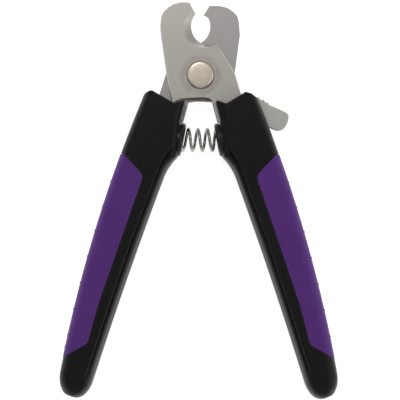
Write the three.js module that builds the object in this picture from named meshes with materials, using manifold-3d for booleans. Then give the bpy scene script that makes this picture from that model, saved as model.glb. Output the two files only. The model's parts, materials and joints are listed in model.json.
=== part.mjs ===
// Pliers-style nail clipper for pets, shown open and lying on its back.
//
// Millimetres. The jaws point to +Y, the thickness runs along +Z, and the handles open left and right.
// Every handle piece is drawn once, in the handle frame: its origin is on the pivot axis, x runs outwards
// from the tool's middle line and y runs towards the jaws, as if the two handles were swung together.
// The right half is turned open about the pivot, and the left half is its mirror image.

import * as THREE from 'three';
import { mergeVertices } from 'three/addons/utils/BufferGeometryUtils.js';
import Module from 'manifold-3d';

const wasm = await Module();
wasm.setup();

const RIGHT = 1;
const LEFT = -1;
const FRONT = 1;
const REAR = -1;

// ---------------------------------------------------------------- driving dimensions

const OPEN_ANGLE = THREE.MathUtils.degToRad(19); // each handle away from the middle line, spring relaxed
const GAP = 0.3; // assembly clearance between neighbouring pieces
const THROUGH = 60; // long enough to cut through anything
const MOUTH = 8; // how far a seat's recess runs out of the handle

const BLADE = {
  thickness: 2,
  front: { reach: 31.85, jawWidth: 10.42, crotch: 0 }, // reach: pivot to the top of the jaw
  rear: { reach: 30.5, jawWidth: 10.1, crotch: 1.75 }, // a shorter jaw and a deeper crotch below the pivot
  heelReach: 17, // pivot to the tip of the heel that stops the opening
  heelAngle: THREE.MathUtils.degToRad(-152.6), // the heel's direction from the pivot
  tangOuter: 13.7,
  tangInner: 0.4,
  tangEnd: -62,
};
const HEEL_SWING = [-68.5, -20].map(THREE.MathUtils.degToRad); // the other blade's heel, open and closed
const NOTCH = { x: 10.33, y: 18.18, radius: 7.85, groundRadius: 10.4 }; // nail notch, ground on one side

const PIVOT = {
  shankRadius: 2.9,
  headRadius: 5.45,
  headHeight: 1.5,
  headChamfer: 0.4,
  washerRadius: 5,
  washerHeight: 0.6,
  nutRadius: 4.9,
  nutHeight: 2,
};

const HANDLE = {
  halfThickness: 8,
  edgeRadius: 4.5, // rounding of the long edges
  topStart: 11.5, // distance below the pivot where the handle block starts
  end: 145.3, // distance below the pivot where the handle ends
  bellyAt: 50.4, // where the outer edge bulges most
  bellyOut: 20.6,
  bellyRadius: 594, // the outer edge is one long arc
  innerAt: 88,
  innerOut: 0.72,
  innerRadius: 1750, // the inner edge is a flatter arc
  straightEnd: 20.8, // end of the straight stretch of the inner edge over the tang
  shoulderTop: 36, // the bulge under the spring seat
  shoulderEnd: 46,
  shoulderDepth: 2.5,
  endRound: 8.6, // length of the rounded end, and how far its edges and faces draw in
  endDrawInner: 5.2,
  endDrawOuter: 4.4,
  endDrawFaces: 5,
  topCorner: { left: 1.6, right: 3.2 }, // the right shell is cut back more, over the lever
};

const GRIP = { thickness: 1.5, top: -42, innerEdge: 8.1, innerBottom: 22.8 - HANDLE.end };

const SPRING = {
  outerRadius: 5.25,
  wireRadius: 0.62,
  activeTurns: 4.5,
  closedTurns: 1,
  bend: 0.35, // how far along its axis the spring leaves each seat squarely before it straightens
};

const SEAT = {
  faceX: -2.3,
  faceY: -28.25,
  tilt: THREE.MathUtils.degToRad(8),
  boreRadius: SPRING.outerRadius + 0.45, // the spring sits in the bore with a little play
  cupRadius: SPRING.outerRadius + 1.25,
  lipRadius: SPRING.outerRadius + 1.9,
  lipChamfer: 0.9,
  lipDepth: 1.9,
  boreDepth: 4.5,
  depth: 5.7,
};

const LEVER = { thickness: 2, pinX: 16, pinY: -18.5, pinRadius: 1.2, hubRadius: 3, pinReach: 5 };

const SCREW = { headRadius: 2.1, headHeight: 1.5, shankRadius: 1.3, sink: 2.6, reach: 4 };
const LOWER_SCREW_Y = 9.3 - HANDLE.end;
const UPPER_SCREW_Y = -39.3;
const SCREW_PLACES = {
  upper: [11, UPPER_SCREW_Y],
  middle: [5.7, (UPPER_SCREW_Y + LOWER_SCREW_Y) / 2],
  lower: [7.4, LOWER_SCREW_Y],
};

// ---------------------------------------------------------------- materials

/** A surface finish from a colour, a roughness and a metalness. */
function finish(color, roughness, metalness) {
  return new THREE.MeshStandardMaterial({ color, roughness, metalness });
}

const STEEL = finish(0xaaa69f, 0.38, 0.9);
const REAR_STEEL = finish(0x969593, 0.4, 0.9);
const BRIGHT_STEEL = finish(0xbdb6aa, 0.3, 0.9);
const SPRING_STEEL = finish(0x8f8f90, 0.3, 0.95);
const BLACK_PLASTIC = finish(0x262626, 0.55, 0);
const PURPLE_RUBBER = finish(0x4c2d68, 0.6, 0);
const ZINC = finish(0x9a9a9c, 0.4, 0.9);

// ---------------------------------------------------------------- solids

/** A closed mesh as a solid that can be cut and joined. */
function solid(geometry) {
  const bare = geometry.clone();
  bare.deleteAttribute('normal');
  bare.deleteAttribute('uv');
  const merged = mergeVertices(bare, 1e-4);
  return new wasm.Manifold(
    new wasm.Mesh({
      numProp: 3,
      vertProperties: new Float32Array(merged.attributes.position.array),
      triVerts: new Uint32Array(merged.index.array),
    }),
  );
}

/** The solid's surface as a mesh geometry. */
function surface(body) {
  const { vertProperties, triVerts } = body.getMesh();
  const geometry = new THREE.BufferGeometry();
  geometry.setAttribute('position', new THREE.BufferAttribute(vertProperties, 3));
  geometry.setIndex(new THREE.BufferAttribute(triVerts, 1));
  return geometry;
}

/** The mirror image across the middle line, with its faces still pointing out. */
function mirrored(geometry) {
  const copy = geometry.clone();
  const places = copy.attributes.position;
  for (let i = 0; i < places.count; i += 1) places.setX(i, -places.getX(i));
  const corners = copy.index.array;
  for (let i = 0; i < corners.length; i += 3) {
    [corners[i + 1], corners[i + 2]] = [corners[i + 2], corners[i + 1]];
  }
  return copy;
}

/** A flat outline given thickness from low to high along Z. */
function plate(shape, low, high, curveSegments = 12) {
  const geometry = new THREE.ExtrudeGeometry(shape, { depth: high - low, bevelEnabled: false, curveSegments });
  return solid(geometry.translate(0, 0, low));
}

const outline = (points) => new THREE.Shape(points.map(([x, y]) => new THREE.Vector2(x, y)));

/** A closed outline moved outwards by a distance, mitred at its corners. */
function grown(points, distance) {
  const corners = points.map(([x, y]) => new THREE.Vector2(x, y));
  const outwards = Math.sign(THREE.ShapeUtils.area(corners)) * distance;
  return corners.map((corner, i) => {
    const before = corners[(i + corners.length - 1) % corners.length];
    const after = corners[(i + 1) % corners.length];
    const a = corner.clone().sub(before).normalize();
    const b = after.clone().sub(corner).normalize();
    const normal = new THREE.Vector2(a.y + b.y, -a.x - b.x).normalize();
    const stretch = outwards / Math.max(normal.dot(new THREE.Vector2(a.y, -a.x)), 0.4);
    return [corner.x + normal.x * stretch, corner.y + normal.y * stretch];
  });
}

/** A round bar along Z from low to high. */
function rod(radius, low, high, x = 0, y = 0, sides = 28) {
  const geometry = new THREE.CylinderGeometry(radius, radius, high - low, sides);
  return solid(geometry.rotateX(Math.PI / 2).translate(x, y, (low + high) / 2));
}

/** A profile of [radius, height] pairs spun about Z. */
function turned(profile, sides = 32) {
  const points = [...profile, profile[0]].map(([r, h]) => new THREE.Vector2(r, h));
  return new THREE.LatheGeometry(points, sides).rotateX(Math.PI / 2);
}

// ---------------------------------------------------------------- blades

/** Z range of the blade that belongs to a side: the right half holds the front blade. */
function bladeLayer(side) {
  const near = (side * GAP) / 2;
  const far = near + side * BLADE.thickness;
  return [Math.min(near, far), Math.max(near, far)];
}

/** Corners of the tang, from its inner edge round its end to its outer edge. */
function tangCorners() {
  const clear = seatBack() + 2 * GAP;
  return [
    [BLADE.tangInner + 0.4, -13.8],
    [BLADE.tangInner, -20.4],
    [clear, -20.4],
    [clear, BLADE.tangEnd + 1.5],
    [clear + 1.5, BLADE.tangEnd],
    [BLADE.tangOuter - 2.6, BLADE.tangEnd],
    [BLADE.tangOuter - 1.1, BLADE.tangEnd + 1.5],
    [BLADE.tangOuter, -11.9],
  ];
}

/** Blade outline in the handle frame, with the notch still to be cut. */
function bladeOutline({ reach, jawWidth, crotch }) {
  const shape = new THREE.Shape();
  const heel = [BLADE.heelReach * Math.cos(BLADE.heelAngle), BLADE.heelReach * Math.sin(BLADE.heelAngle)];
  const through = (points) => shape.splineThru(points.map(([x, y]) => new THREE.Vector2(x, y)));
  shape.moveTo(6.34, 25.05);
  shape.lineTo(5.9, reach - 2.5);
  through([[4.9, reach - 1.1], [1.7, reach - 0.16], [-1.8, reach], [-5.7, reach - 1.35]]);
  through([[2.66 - jawWidth, reach - 3.3], [1.02 - jawWidth, reach - 6.7], [-jawWidth, 21.48]]);
  shape.lineTo(-13.44, 5.2);
  shape.lineTo(heel[0], heel[1] + 0.5);
  shape.lineTo(heel[0] + 0.7, heel[1]);
  through([[-13.2, -7.3], [-10.2, -7.1 - crotch * 0.8], [-3.2, -8.8 - crotch], [-0.1, -10.2 - crotch]]);
  shape.lineTo(BLADE.tangInner + 0.6, -11.8 - crotch / 2);
  for (const [x, y] of tangCorners()) shape.lineTo(x, y);
  shape.lineTo(14, -3.6);
  shape.lineTo(10.71, 10.12);
  return shape;
}

/** One blade: the plate, its pivot bore, its screw hole, and the notch ground hollow on its outer face. */
function blade(side, form) {
  const [low, high] = bladeLayer(side);
  const { x, y, radius, groundRadius } = NOTCH;
  const faceRadius = side === RIGHT ? [groundRadius, radius] : [radius, groundRadius];
  const grinder = new THREE.CylinderGeometry(...faceRadius, high - low + 0.02, 56);
  const cut = solid(grinder.rotateX(Math.PI / 2).translate(x, y, (low + high) / 2));
  const [screwX, screwY] = SCREW_PLACES.upper;
  return plate(bladeOutline(form), low, high, 5)
    .subtract(cut)
    .subtract(rod(PIVOT.shankRadius + GAP, -THROUGH, THROUGH, 0, 0, 36))
    .subtract(rod(SCREW.shankRadius + GAP, -THROUGH, THROUGH, screwX, screwY, 20));
}

// ---------------------------------------------------------------- pivot

/** Bolt with a low round head on the front, its shank running through both blades. */
function pivotBolt() {
  const seat = GAP / 2 + BLADE.thickness + GAP;
  const top = seat + PIVOT.headHeight;
  const low = -(seat + PIVOT.washerHeight + GAP + PIVOT.nutHeight + GAP);
  return turned([
    [0, low],
    [PIVOT.shankRadius, low],
    [PIVOT.shankRadius, seat],
    [PIVOT.headRadius, seat],
    [PIVOT.headRadius, top - PIVOT.headChamfer],
    [PIVOT.headRadius - PIVOT.headChamfer, top],
    [0, top],
  ], 40);
}

/** A flat ring round the shank, with a round or a six-sided outside. */
function shankRing(radius, low, high, sides) {
  return surface(rod(radius, low, high, 0, 0, sides).subtract(rod(PIVOT.shankRadius + GAP, -THROUGH, THROUGH)));
}

function pivotWasher() {
  const high = -(GAP / 2 + BLADE.thickness + GAP);
  return shankRing(PIVOT.washerRadius, high - PIVOT.washerHeight, high, 32);
}

function pivotNut() {
  const high = -(GAP / 2 + BLADE.thickness + GAP + PIVOT.washerHeight + GAP);
  return shankRing(PIVOT.nutRadius, high - PIVOT.nutHeight, high, 6);
}

// ---------------------------------------------------------------- handle block

/** Outer edge of the handle at a distance below the pivot. */
function outerEdge(down) {
  const { bellyAt, bellyOut, bellyRadius } = HANDLE;
  return bellyOut - (down - bellyAt) ** 2 / (2 * bellyRadius);
}

/** Inner edge: a straight stretch over the tang, the seat's slope, a shoulder, then the long arc. */
function innerEdge(down) {
  const { innerAt, innerOut, innerRadius, straightEnd, shoulderTop, shoulderEnd, shoulderDepth } = HANDLE;
  const arc = (d) => innerOut - (d - innerAt) ** 2 / (2 * innerRadius);
  if (down >= shoulderEnd) return arc(down);
  const shoulder = (d) => arc(shoulderEnd) - shoulderDepth * ((shoulderEnd - d) / (shoulderEnd - shoulderTop)) ** 2;
  if (down >= shoulderTop) return shoulder(down);
  const straight = (d) => BLADE.tangInner + 1.8 - 0.09 * (d - 13);
  if (down <= straightEnd) return straight(down);
  const share = (down - straightEnd) / (shoulderTop - straightEnd);
  return THREE.MathUtils.lerp(straight(straightEnd), shoulder(shoulderTop), share);
}

/** How much the rounded end has drawn in, from 0 at its start to 1 at the tip. */
function endDraw(down) {
  const share = THREE.MathUtils.clamp((down - (HANDLE.end - HANDLE.endRound)) / HANDLE.endRound, 0, 1);
  return 1 - Math.sqrt(1 - share * share);
}

/** One rounded-rectangle section across the handle, drawn in by an inset. */
function handleSection(down, inset) {
  const draw = endDraw(down);
  const low = innerEdge(down) + HANDLE.endDrawInner * draw + inset;
  const high = outerEdge(down) - HANDLE.endDrawOuter * draw - inset;
  const half = HANDLE.halfThickness - HANDLE.endDrawFaces * draw - inset;
  const radius = Math.min(HANDLE.edgeRadius - inset, half - 0.4, (high - low) / 2 - 0.4);
  const steps = 4;
  const points = [];
  const corners = [
    [high - radius, half - radius], [low + radius, half - radius],
    [low + radius, radius - half], [high - radius, radius - half],
  ];
  corners.forEach(([x, z], quarter) => {
    for (let i = 0; i <= steps; i += 1) {
      const angle = (quarter + i / steps) * (Math.PI / 2);
      points.push([x + radius * Math.cos(angle), -down, z + radius * Math.sin(angle)]);
    }
  });
  return points;
}

/** The whole handle block, as sections joined in a row and closed at both ends. */
function handleBlock(inset) {
  const { topStart, straightEnd, shoulderTop, shoulderEnd, end, endRound } = HANDLE;
  const roundStart = end - endRound;
  const downs = [topStart, straightEnd, shoulderTop - 0.2, shoulderTop + 2.5, shoulderTop + 5.5, shoulderEnd];
  const spans = 6;
  for (let i = 1; i <= spans; i += 1) downs.push(THREE.MathUtils.lerp(shoulderEnd, roundStart, i / spans));
  for (const share of [0.42, 0.68, 0.88, 1]) downs.push(roundStart + endRound * share - inset * (share === 1));
  const sections = downs.map((down) => handleSection(down, inset));
  const around = sections[0].length;
  const corners = [];
  for (let i = 0; i + 1 < sections.length; i += 1) {
    for (let j = 0; j < around; j += 1) {
      const a = i * around + j;
      const b = i * around + ((j + 1) % around);
      corners.push(a, b, a + around, b, b + around, a + around);
    }
  }
  const last = (sections.length - 1) * around;
  for (let j = 1; j + 1 < around; j += 1) {
    corners.push(0, j + 1, j, last, last + j, last + j + 1);
  }
  const geometry = new THREE.BufferGeometry();
  geometry.setAttribute('position', new THREE.Float32BufferAttribute(sections.flat(2), 3));
  geometry.setIndex(corners);
  return solid(geometry);
}

/** What is taken off the top of the handle block: a peak by the tang, a valley, and a sloping shoulder. */
function topCutter(corner) {
  const edge = outerEdge(15);
  return plate(outline([
    [-20, 10], [-20, -13], [1.6, -13], [2.7, -12.4], [6.4, -15], [edge - 0.8 - corner, -12.95],
    [edge - 0.35 - corner / 2, -13 - corner * 0.35], [edge + 0.2, -13.5 - corner], [edge + 0.5, -15.5 - corner],
    [40, -15.5 - corner], [40, 10],
  ]), -THROUGH, THROUGH);
}

/** The pocket round the other blade at its open stop, and the sector that its heel swings through. */
function otherBladeRoom(side) {
  const [low, high] = bladeLayer(-side);
  const other = bladeOutline(side === RIGHT ? BLADE.rear : BLADE.front).getPoints(5);
  const origin = new THREE.Vector2();
  const beside = other.map(({ x, y }) => new THREE.Vector2(-x, y).rotateAround(origin, -2 * OPEN_ANGLE).toArray());
  const resting = plate(outline(grown(beside, GAP)), low - GAP, high + GAP);
  const reach = BLADE.heelReach + GAP;
  const [swingStart, swingEnd] = HEEL_SWING;
  const shape = new THREE.Shape();
  shape.moveTo(0, 0);
  shape.lineTo(reach * Math.cos(swingStart), reach * Math.sin(swingStart));
  shape.absarc(0, 0, reach, swingStart, swingEnd, false);
  return plate(shape, low - GAP, high + GAP, 10).add(resting);
}

// ---------------------------------------------------------------- grips

/** Corners of the soft grip seen from the front: slanted ends and one long edge along the hard plastic. */
function gripCorners() {
  const { top, innerEdge: edge, innerBottom } = GRIP;
  return [
    [40, top], [18.4, top], [edge + 1.4, top - 5], [edge + 0.1, top - 7], [edge, innerBottom + 18.5],
    [edge - 1.2, innerBottom], [20, innerBottom - 16.6], [40, innerBottom - 16.6],
  ];
}

/** Soft grip wrapped round the outer edge of the handle. */
function grip() {
  return handleBlock(0)
    .intersect(plate(outline(gripCorners()), -THROUGH, THROUGH))
    .subtract(handleBlock(GRIP.thickness));
}

/** The recess that takes the grip. */
function gripRecess() {
  return plate(outline(grown(gripCorners(), GAP)), -THROUGH, THROUGH).subtract(handleBlock(GRIP.thickness + GAP));
}

// ---------------------------------------------------------------- spring and its seats

/** A point on the seat's axis, at a depth behind its face. */
function seatPoint(depth) {
  return [SEAT.faceX + depth * Math.cos(SEAT.tilt), SEAT.faceY - depth * Math.sin(SEAT.tilt)];
}

/** How far out the back of the seat reaches in the handle. */
function seatBack() {
  return seatPoint(SEAT.depth)[0] + SEAT.cupRadius * Math.sin(SEAT.tilt);
}

/** Turns a shape spun about Z so that its height runs along the seat's axis into the handle. */
function alongSeat(geometry) {
  return geometry.rotateY(Math.PI / 2).rotateZ(-SEAT.tilt).translate(SEAT.faceX, SEAT.faceY, 0);
}

/** Plastic cup that holds one end of the spring. */
function springSeat() {
  const { lipRadius, lipChamfer, lipDepth, cupRadius, boreRadius, boreDepth, depth } = SEAT;
  return alongSeat(turned([
    [boreRadius, 0], [lipRadius - lipChamfer, 0], [lipRadius, lipChamfer], [lipRadius, lipDepth],
    [cupRadius, lipDepth],
    [cupRadius, depth], [0, depth], [0, boreDepth], [boreRadius, boreDepth],
  ], 32));
}

/** The room that the seat needs in the handle. */
function seatRecess() {
  const { lipRadius, lipDepth, cupRadius, depth } = SEAT;
  return solid(alongSeat(turned([
    [0, -MOUTH], [lipRadius + GAP, -MOUTH], [lipRadius + GAP, lipDepth + GAP], [cupRadius + GAP, lipDepth + GAP],
    [cupRadius + GAP, depth + GAP], [0, depth + GAP],
  ], 32)));
}

/** The wire's centre line: closed turns at both ends, bent to stand square on the two tilted seats. */
class SpringLine extends THREE.Curve {
  constructor() {
    super();
    const { wireRadius, activeTurns, closedTurns } = SPRING;
    const [x, y] = seatPoint(SEAT.boreDepth - GAP - wireRadius);
    const end = new THREE.Vector2(x, y).rotateAround(new THREE.Vector2(), OPEN_ANGLE);
    const lean = OPEN_ANGLE - SEAT.tilt;
    const pull = end.x * SPRING.bend;
    const inwards = new THREE.Vector2(-Math.cos(lean) * pull, -Math.sin(lean) * pull);
    const guide = end.clone().add(inwards);
    this.axis = new THREE.CubicBezierCurve(
      new THREE.Vector2(-end.x, end.y), new THREE.Vector2(-guide.x, guide.y), guide, end,
    );
    this.length = this.axis.getLength();
    this.turns = activeTurns + 2 * closedTurns;
    this.closedPitch = 2 * wireRadius + GAP;
  }

  /** Distance along the axis after a number of turns. */
  travel(turn) {
    const { activeTurns, closedTurns } = SPRING;
    const closed = closedTurns * this.closedPitch;
    const openPitch = (this.length - 2 * closed) / activeTurns;
    if (turn <= closedTurns) return turn * this.closedPitch;
    if (turn >= closedTurns + activeTurns) return this.length - (this.turns - turn) * this.closedPitch;
    return closed + (turn - closedTurns) * openPitch;
  }

  getPoint(t, target = new THREE.Vector3()) {
    const turn = t * this.turns;
    const along = THREE.MathUtils.clamp(this.travel(turn) / this.length, 0, 1);
    const centre = this.axis.getPointAt(along);
    const forward = this.axis.getTangentAt(along);
    const radius = SPRING.outerRadius - SPRING.wireRadius;
    const up = radius * Math.cos(turn * 2 * Math.PI);
    const towards = radius * Math.sin(turn * 2 * Math.PI);
    return target.set(centre.x - forward.y * up, centre.y + forward.x * up, towards);
  }
}

function spring() {
  const section = new THREE.Shape().absarc(0, 0, SPRING.wireRadius, 0, 2 * Math.PI, false);
  const path = new SpringLine();
  return new THREE.ExtrudeGeometry(section, {
    steps: path.turns * 16, curveSegments: 4, bevelEnabled: false, extrudePath: path,
  });
}

// ---------------------------------------------------------------- lock lever

/** Lever outline: nose, hub round the pin, thumb tab with three serrations on its upper edge. */
function leverOutline() {
  return outline([
    [8, -15.1], [8, -17.1], [10, -17.6], [13, -19.8], [14.2, -22.5], [17.5, -27.4], [20.4, -30.1],
    [22.3, -31.9], [24.3, -32.8], [26.3, -32.5], [28.3, -30.9], [29.5, -29], [29.8, -27.5], [29.2, -26.2],
    [27.9, -24.9], [23.5, -20.9], [23.4, -19.7], [22.3, -19.4], [22, -17.9], [20.9, -18], [20.4, -16.5],
    [18.6, -16.3], [LEVER.pinX, LEVER.pinY + LEVER.hubRadius], [12.6, -16], [10.2, -15.1],
  ]);
}

/** Z range of the lever: it lies beside the other half's blade. */
function leverLayer() {
  const high = bladeLayer(LEFT)[1];
  return [high - LEVER.thickness, high];
}

function lockLever() {
  const [low, high] = leverLayer();
  const hole = rod(LEVER.pinRadius + GAP, -THROUGH, THROUGH, LEVER.pinX, LEVER.pinY, 24);
  return plate(leverOutline(), low, high).subtract(hole);
}

/** The room in the rear shell that the lever swings in, open at the top and at the outer edge. */
function leverPocket() {
  const [low, high] = leverLayer();
  return plate(outline([
    [7.4, -5], [7.4, -18], [11.4, -19.7], [11.4, -24], [12.4, -36.9], [40, -36.9],
    [40, -14.7], [15.1, -14.7], [15.1, -5],
  ]), low - GAP, high + GAP);
}

function leverPin() {
  return rod(LEVER.pinRadius, -LEVER.pinReach, LEVER.pinReach, LEVER.pinX, LEVER.pinY, 20);
}

// ---------------------------------------------------------------- shells and screws

/** A thread-forming screw sunk in the rear shell and biting in the front shell. */
function shellScrew([x, y]) {
  const { headRadius, headHeight, shankRadius, sink, reach } = SCREW;
  const floor = -HANDLE.halfThickness + sink;
  return turned([
    [0, floor - headHeight], [headRadius - 0.5, floor - headHeight], [headRadius, floor - headHeight + 0.5],
    [headRadius, floor], [shankRadius, floor], [shankRadius, reach - 1], [0, reach],
  ], 20).translate(x, y, 0);
}

/** The holes for the screws: a sunk seat and a clear hole behind, a blind hole in front. */
function screwHoles() {
  const { headRadius, shankRadius, sink, reach } = SCREW;
  const floor = -HANDLE.halfThickness + sink + GAP;
  return Object.values(SCREW_PLACES)
    .map(([x, y]) => rod(shankRadius + GAP, floor - 1, reach + GAP, x, y, 20)
      .add(rod(headRadius + GAP, -THROUGH, floor, x, y, 24)))
    .reduce((all, one) => all.add(one));
}

/** The slot that the blade's tang slides into. */
function tangPocket(side) {
  const [low, high] = bladeLayer(side);
  const corners = [[BLADE.tangInner + 0.6, -5], ...tangCorners(), [BLADE.tangOuter + 0.3, -5]];
  return plate(outline(grown(corners, GAP)), low - GAP, high + GAP);
}

/** The half space in front of or behind the split between the shells. */
function halfSpace(face) {
  const near = (face * GAP) / 2;
  const far = face * THROUGH;
  const square = [[-THROUGH, -200], [THROUGH, -200], [THROUGH, 50], [-THROUGH, 50]];
  return plate(outline(square), Math.min(near, far), Math.max(near, far));
}

/** One handle, with room for everything it holds, before it is split in two shells. */
function hollowHandle(side) {
  const block = handleBlock(0)
    .subtract(topCutter(side === RIGHT ? HANDLE.topCorner.right : HANDLE.topCorner.left))
    .subtract(otherBladeRoom(side))
    .subtract(tangPocket(side))
    .subtract(seatRecess())
    .subtract(gripRecess())
    .subtract(screwHoles());
  if (side === LEFT) return block;
  const bore = rod(LEVER.pinRadius + GAP, -LEVER.pinReach - GAP, LEVER.pinReach + GAP, LEVER.pinX, LEVER.pinY, 20);
  return block.subtract(leverPocket()).subtract(bore);
}

// ---------------------------------------------------------------- assembly

const tool = new THREE.Group();

/** Adds a named piece, drawn in the handle frame, to its half of the tool. */
function place(half, side, name, geometry, material) {
  const shown = side === RIGHT ? geometry : mirrored(mergeVertices(geometry));
  const piece = new THREE.Mesh(shown, material);
  piece.name = name;
  half.add(piece);
}

for (const side of [LEFT, RIGHT]) {
  const word = side === RIGHT ? 'right' : 'left';
  const half = new THREE.Group();
  half.rotation.z = side * OPEN_ANGLE;
  const add = (name, geometry, material) => place(half, side, name, geometry, material);
  const hollow = hollowHandle(side);
  add(`${word}_front_shell`, surface(hollow.intersect(halfSpace(FRONT))), BLACK_PLASTIC);
  add(`${word}_rear_shell`, surface(hollow.intersect(halfSpace(REAR))), BLACK_PLASTIC);
  add(`${word}_grip`, surface(grip()), PURPLE_RUBBER);
  add(`${word}_spring_seat`, springSeat(), BLACK_PLASTIC);
  for (const [where, spot] of Object.entries(SCREW_PLACES)) {
    add(`${word}_${where}_screw`, shellScrew(spot), ZINC);
  }
  if (side === RIGHT) {
    add('front_blade', surface(blade(side, BLADE.front)), STEEL);
    add('lock_lever', surface(lockLever()), STEEL);
    add('lock_lever_pin', surface(leverPin()), ZINC);
  } else {
    add('rear_blade', surface(blade(side, BLADE.rear)), REAR_STEEL);
  }
  tool.add(half);
}

for (const [name, geometry, material] of [
  ['pivot_bolt', pivotBolt(), BRIGHT_STEEL],
  ['pivot_washer', pivotWasher(), ZINC],
  ['pivot_nut', pivotNut(), BRIGHT_STEEL],
  ['spring', spring(), SPRING_STEEL],
]) {
  const piece = new THREE.Mesh(geometry, material);
  piece.name = name;
  tool.add(piece);
}

// The origin is the middle of the underside: centred left to right and end to end, resting on Z = 0.
const box = new THREE.Box3().setFromObject(tool, true);
const middle = box.getCenter(new THREE.Vector3());
tool.position.set(-middle.x, -middle.y, -box.min.z);

const group = new THREE.Group();
group.add(tool);

export default group;
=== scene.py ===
"""A pliers-style nail clipper for pets, lying open on its back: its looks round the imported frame.

Sizes are millimetres in the handle frame: its origin is on the pivot axis at the plane where the
blades meet, x runs outwards from the tool's middle line, y runs towards the jaws and z to the front.
Layout.place turns each half open and gives row-frame metres.
"""

import json
import logging
import math
from collections.abc import Callable
from dataclasses import dataclass, field
from enum import Enum

import bmesh
import bpy
import numpy as np
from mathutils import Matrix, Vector
from mathutils.geometry import tessellate_polygon

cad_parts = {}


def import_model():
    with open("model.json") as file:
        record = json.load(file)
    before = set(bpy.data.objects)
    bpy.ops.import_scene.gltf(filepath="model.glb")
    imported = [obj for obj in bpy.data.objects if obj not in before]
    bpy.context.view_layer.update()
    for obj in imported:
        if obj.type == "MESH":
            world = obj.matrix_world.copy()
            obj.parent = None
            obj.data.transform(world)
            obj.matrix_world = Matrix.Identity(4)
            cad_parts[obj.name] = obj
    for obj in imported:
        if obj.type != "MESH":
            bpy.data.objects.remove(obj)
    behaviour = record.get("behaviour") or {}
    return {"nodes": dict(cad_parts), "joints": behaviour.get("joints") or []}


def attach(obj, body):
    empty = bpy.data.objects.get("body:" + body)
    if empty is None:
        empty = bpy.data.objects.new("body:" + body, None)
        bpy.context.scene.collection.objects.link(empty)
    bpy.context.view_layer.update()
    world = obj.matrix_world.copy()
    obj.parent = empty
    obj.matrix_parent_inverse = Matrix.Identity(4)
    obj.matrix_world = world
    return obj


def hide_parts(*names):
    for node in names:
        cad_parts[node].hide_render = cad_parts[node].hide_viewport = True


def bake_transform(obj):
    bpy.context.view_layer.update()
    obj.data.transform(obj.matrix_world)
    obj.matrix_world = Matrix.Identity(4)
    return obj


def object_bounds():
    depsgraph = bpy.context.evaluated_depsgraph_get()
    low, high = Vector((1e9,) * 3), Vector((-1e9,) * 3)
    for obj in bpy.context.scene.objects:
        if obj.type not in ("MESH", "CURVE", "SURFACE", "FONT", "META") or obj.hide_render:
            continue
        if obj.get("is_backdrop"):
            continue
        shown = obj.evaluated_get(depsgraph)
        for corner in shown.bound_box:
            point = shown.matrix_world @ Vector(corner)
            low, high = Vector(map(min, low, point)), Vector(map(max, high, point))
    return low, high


MM = 0.001
LOG = logging.getLogger("clipper")
EDGE = "edge"  # point attribute: near 1 on rims and crests that hands rub, painted lighter for that rubbing and as a painted rim highlight; 0 on open faces
WELD = 2e-4  # millimetres within which two points are one
MITRE_LIMIT = 0.45  # a mitred corner is lengthened by no more than one over this

Placer = Callable[[np.ndarray], np.ndarray]  # from (n, 3) millimetres to row-frame metres
Rgb = tuple[int, int, int]  # 8-bit screen colour
Socket = bpy.types.NodeSocket
Sockets = bpy.types.bpy_prop_collection
Feed = Socket | float | tuple  # a link, or a constant


class Half(Enum):
    """The two halves of the tool, by the side their handle lies on."""

    RIGHT = 1
    LEFT = -1

    @property
    def body(self) -> str:
        """Name of the CAD body."""
        return f"{self.word}_half"

    @property
    def word(self) -> str:
        """The half's name in piece names."""
        return self.name.lower()


class Face(Enum):
    """The front of the tool, with the bolt head, and its rear, with the nut."""

    FRONT = 1
    REAR = -1

    @property
    def word(self) -> str:
        """The face's name in piece names."""
        return self.name.lower()


# ---------------------------------------------------------------- shapes as arrays


def smooth(t: np.ndarray) -> np.ndarray:
    """Eased step: 3t squared minus 2t cubed, held at 0 and 1 outside."""
    t = np.clip(t, 0.0, 1.0)
    return t * t * (3 - 2 * t)


def fillet(depth: np.ndarray, radius: float) -> np.ndarray:
    """How far a rounded edge draws in at a distance from it: radius minus the quarter circle's height.

    Args:
        depth: distance from the edge.
        radius: radius of the rounding.

    Returns:
        The draw at each distance, 0 past the radius.
    """
    left = np.clip(radius - depth, 0.0, radius)
    return radius - np.sqrt(np.maximum(radius**2 - left**2, 0.0))


def curve_through(points: list, steps: int) -> np.ndarray:
    """Points on the uniform Catmull-Rom curve through some points, the last one left out.

    Args:
        points: (x, y) pairs that the curve passes.
        steps: points made on each span.

    Returns:
        Array of shape (spans * steps, 2).
    """
    p = np.array(points, float)
    p = np.vstack([p[:1], p, p[-1:]])
    t = (np.arange(steps) / steps)[None, :, None]
    a, b, c, d = (p[i : len(p) - 3 + i, None, :] for i in range(4))
    value = 0.5 * (2 * b + (c - a) * t + (2 * a - 5 * b + 4 * c - d) * t**2 + (3 * b - a - 3 * c + d) * t**3)
    return value.reshape(-1, 2)


def divided(points: np.ndarray, longest: float) -> np.ndarray:
    """A closed outline with its long sides divided into equal lengths.

    Args:
        points: (n, 2) corners.
        longest: greatest length of a side in the result.

    Returns:
        (m, 2) corners, with the old ones among them.
    """
    after = np.roll(points, -1, axis=0)
    counts = np.maximum(np.ceil(np.linalg.norm(after - points, axis=1) / longest).astype(int), 1)
    which = np.repeat(np.arange(len(points)), counts)
    share = (np.arange(counts.sum()) - np.repeat(np.cumsum(counts) - counts, counts)) / counts[which]
    return points[which] + (after[which] - points[which]) * share[:, None]



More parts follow.
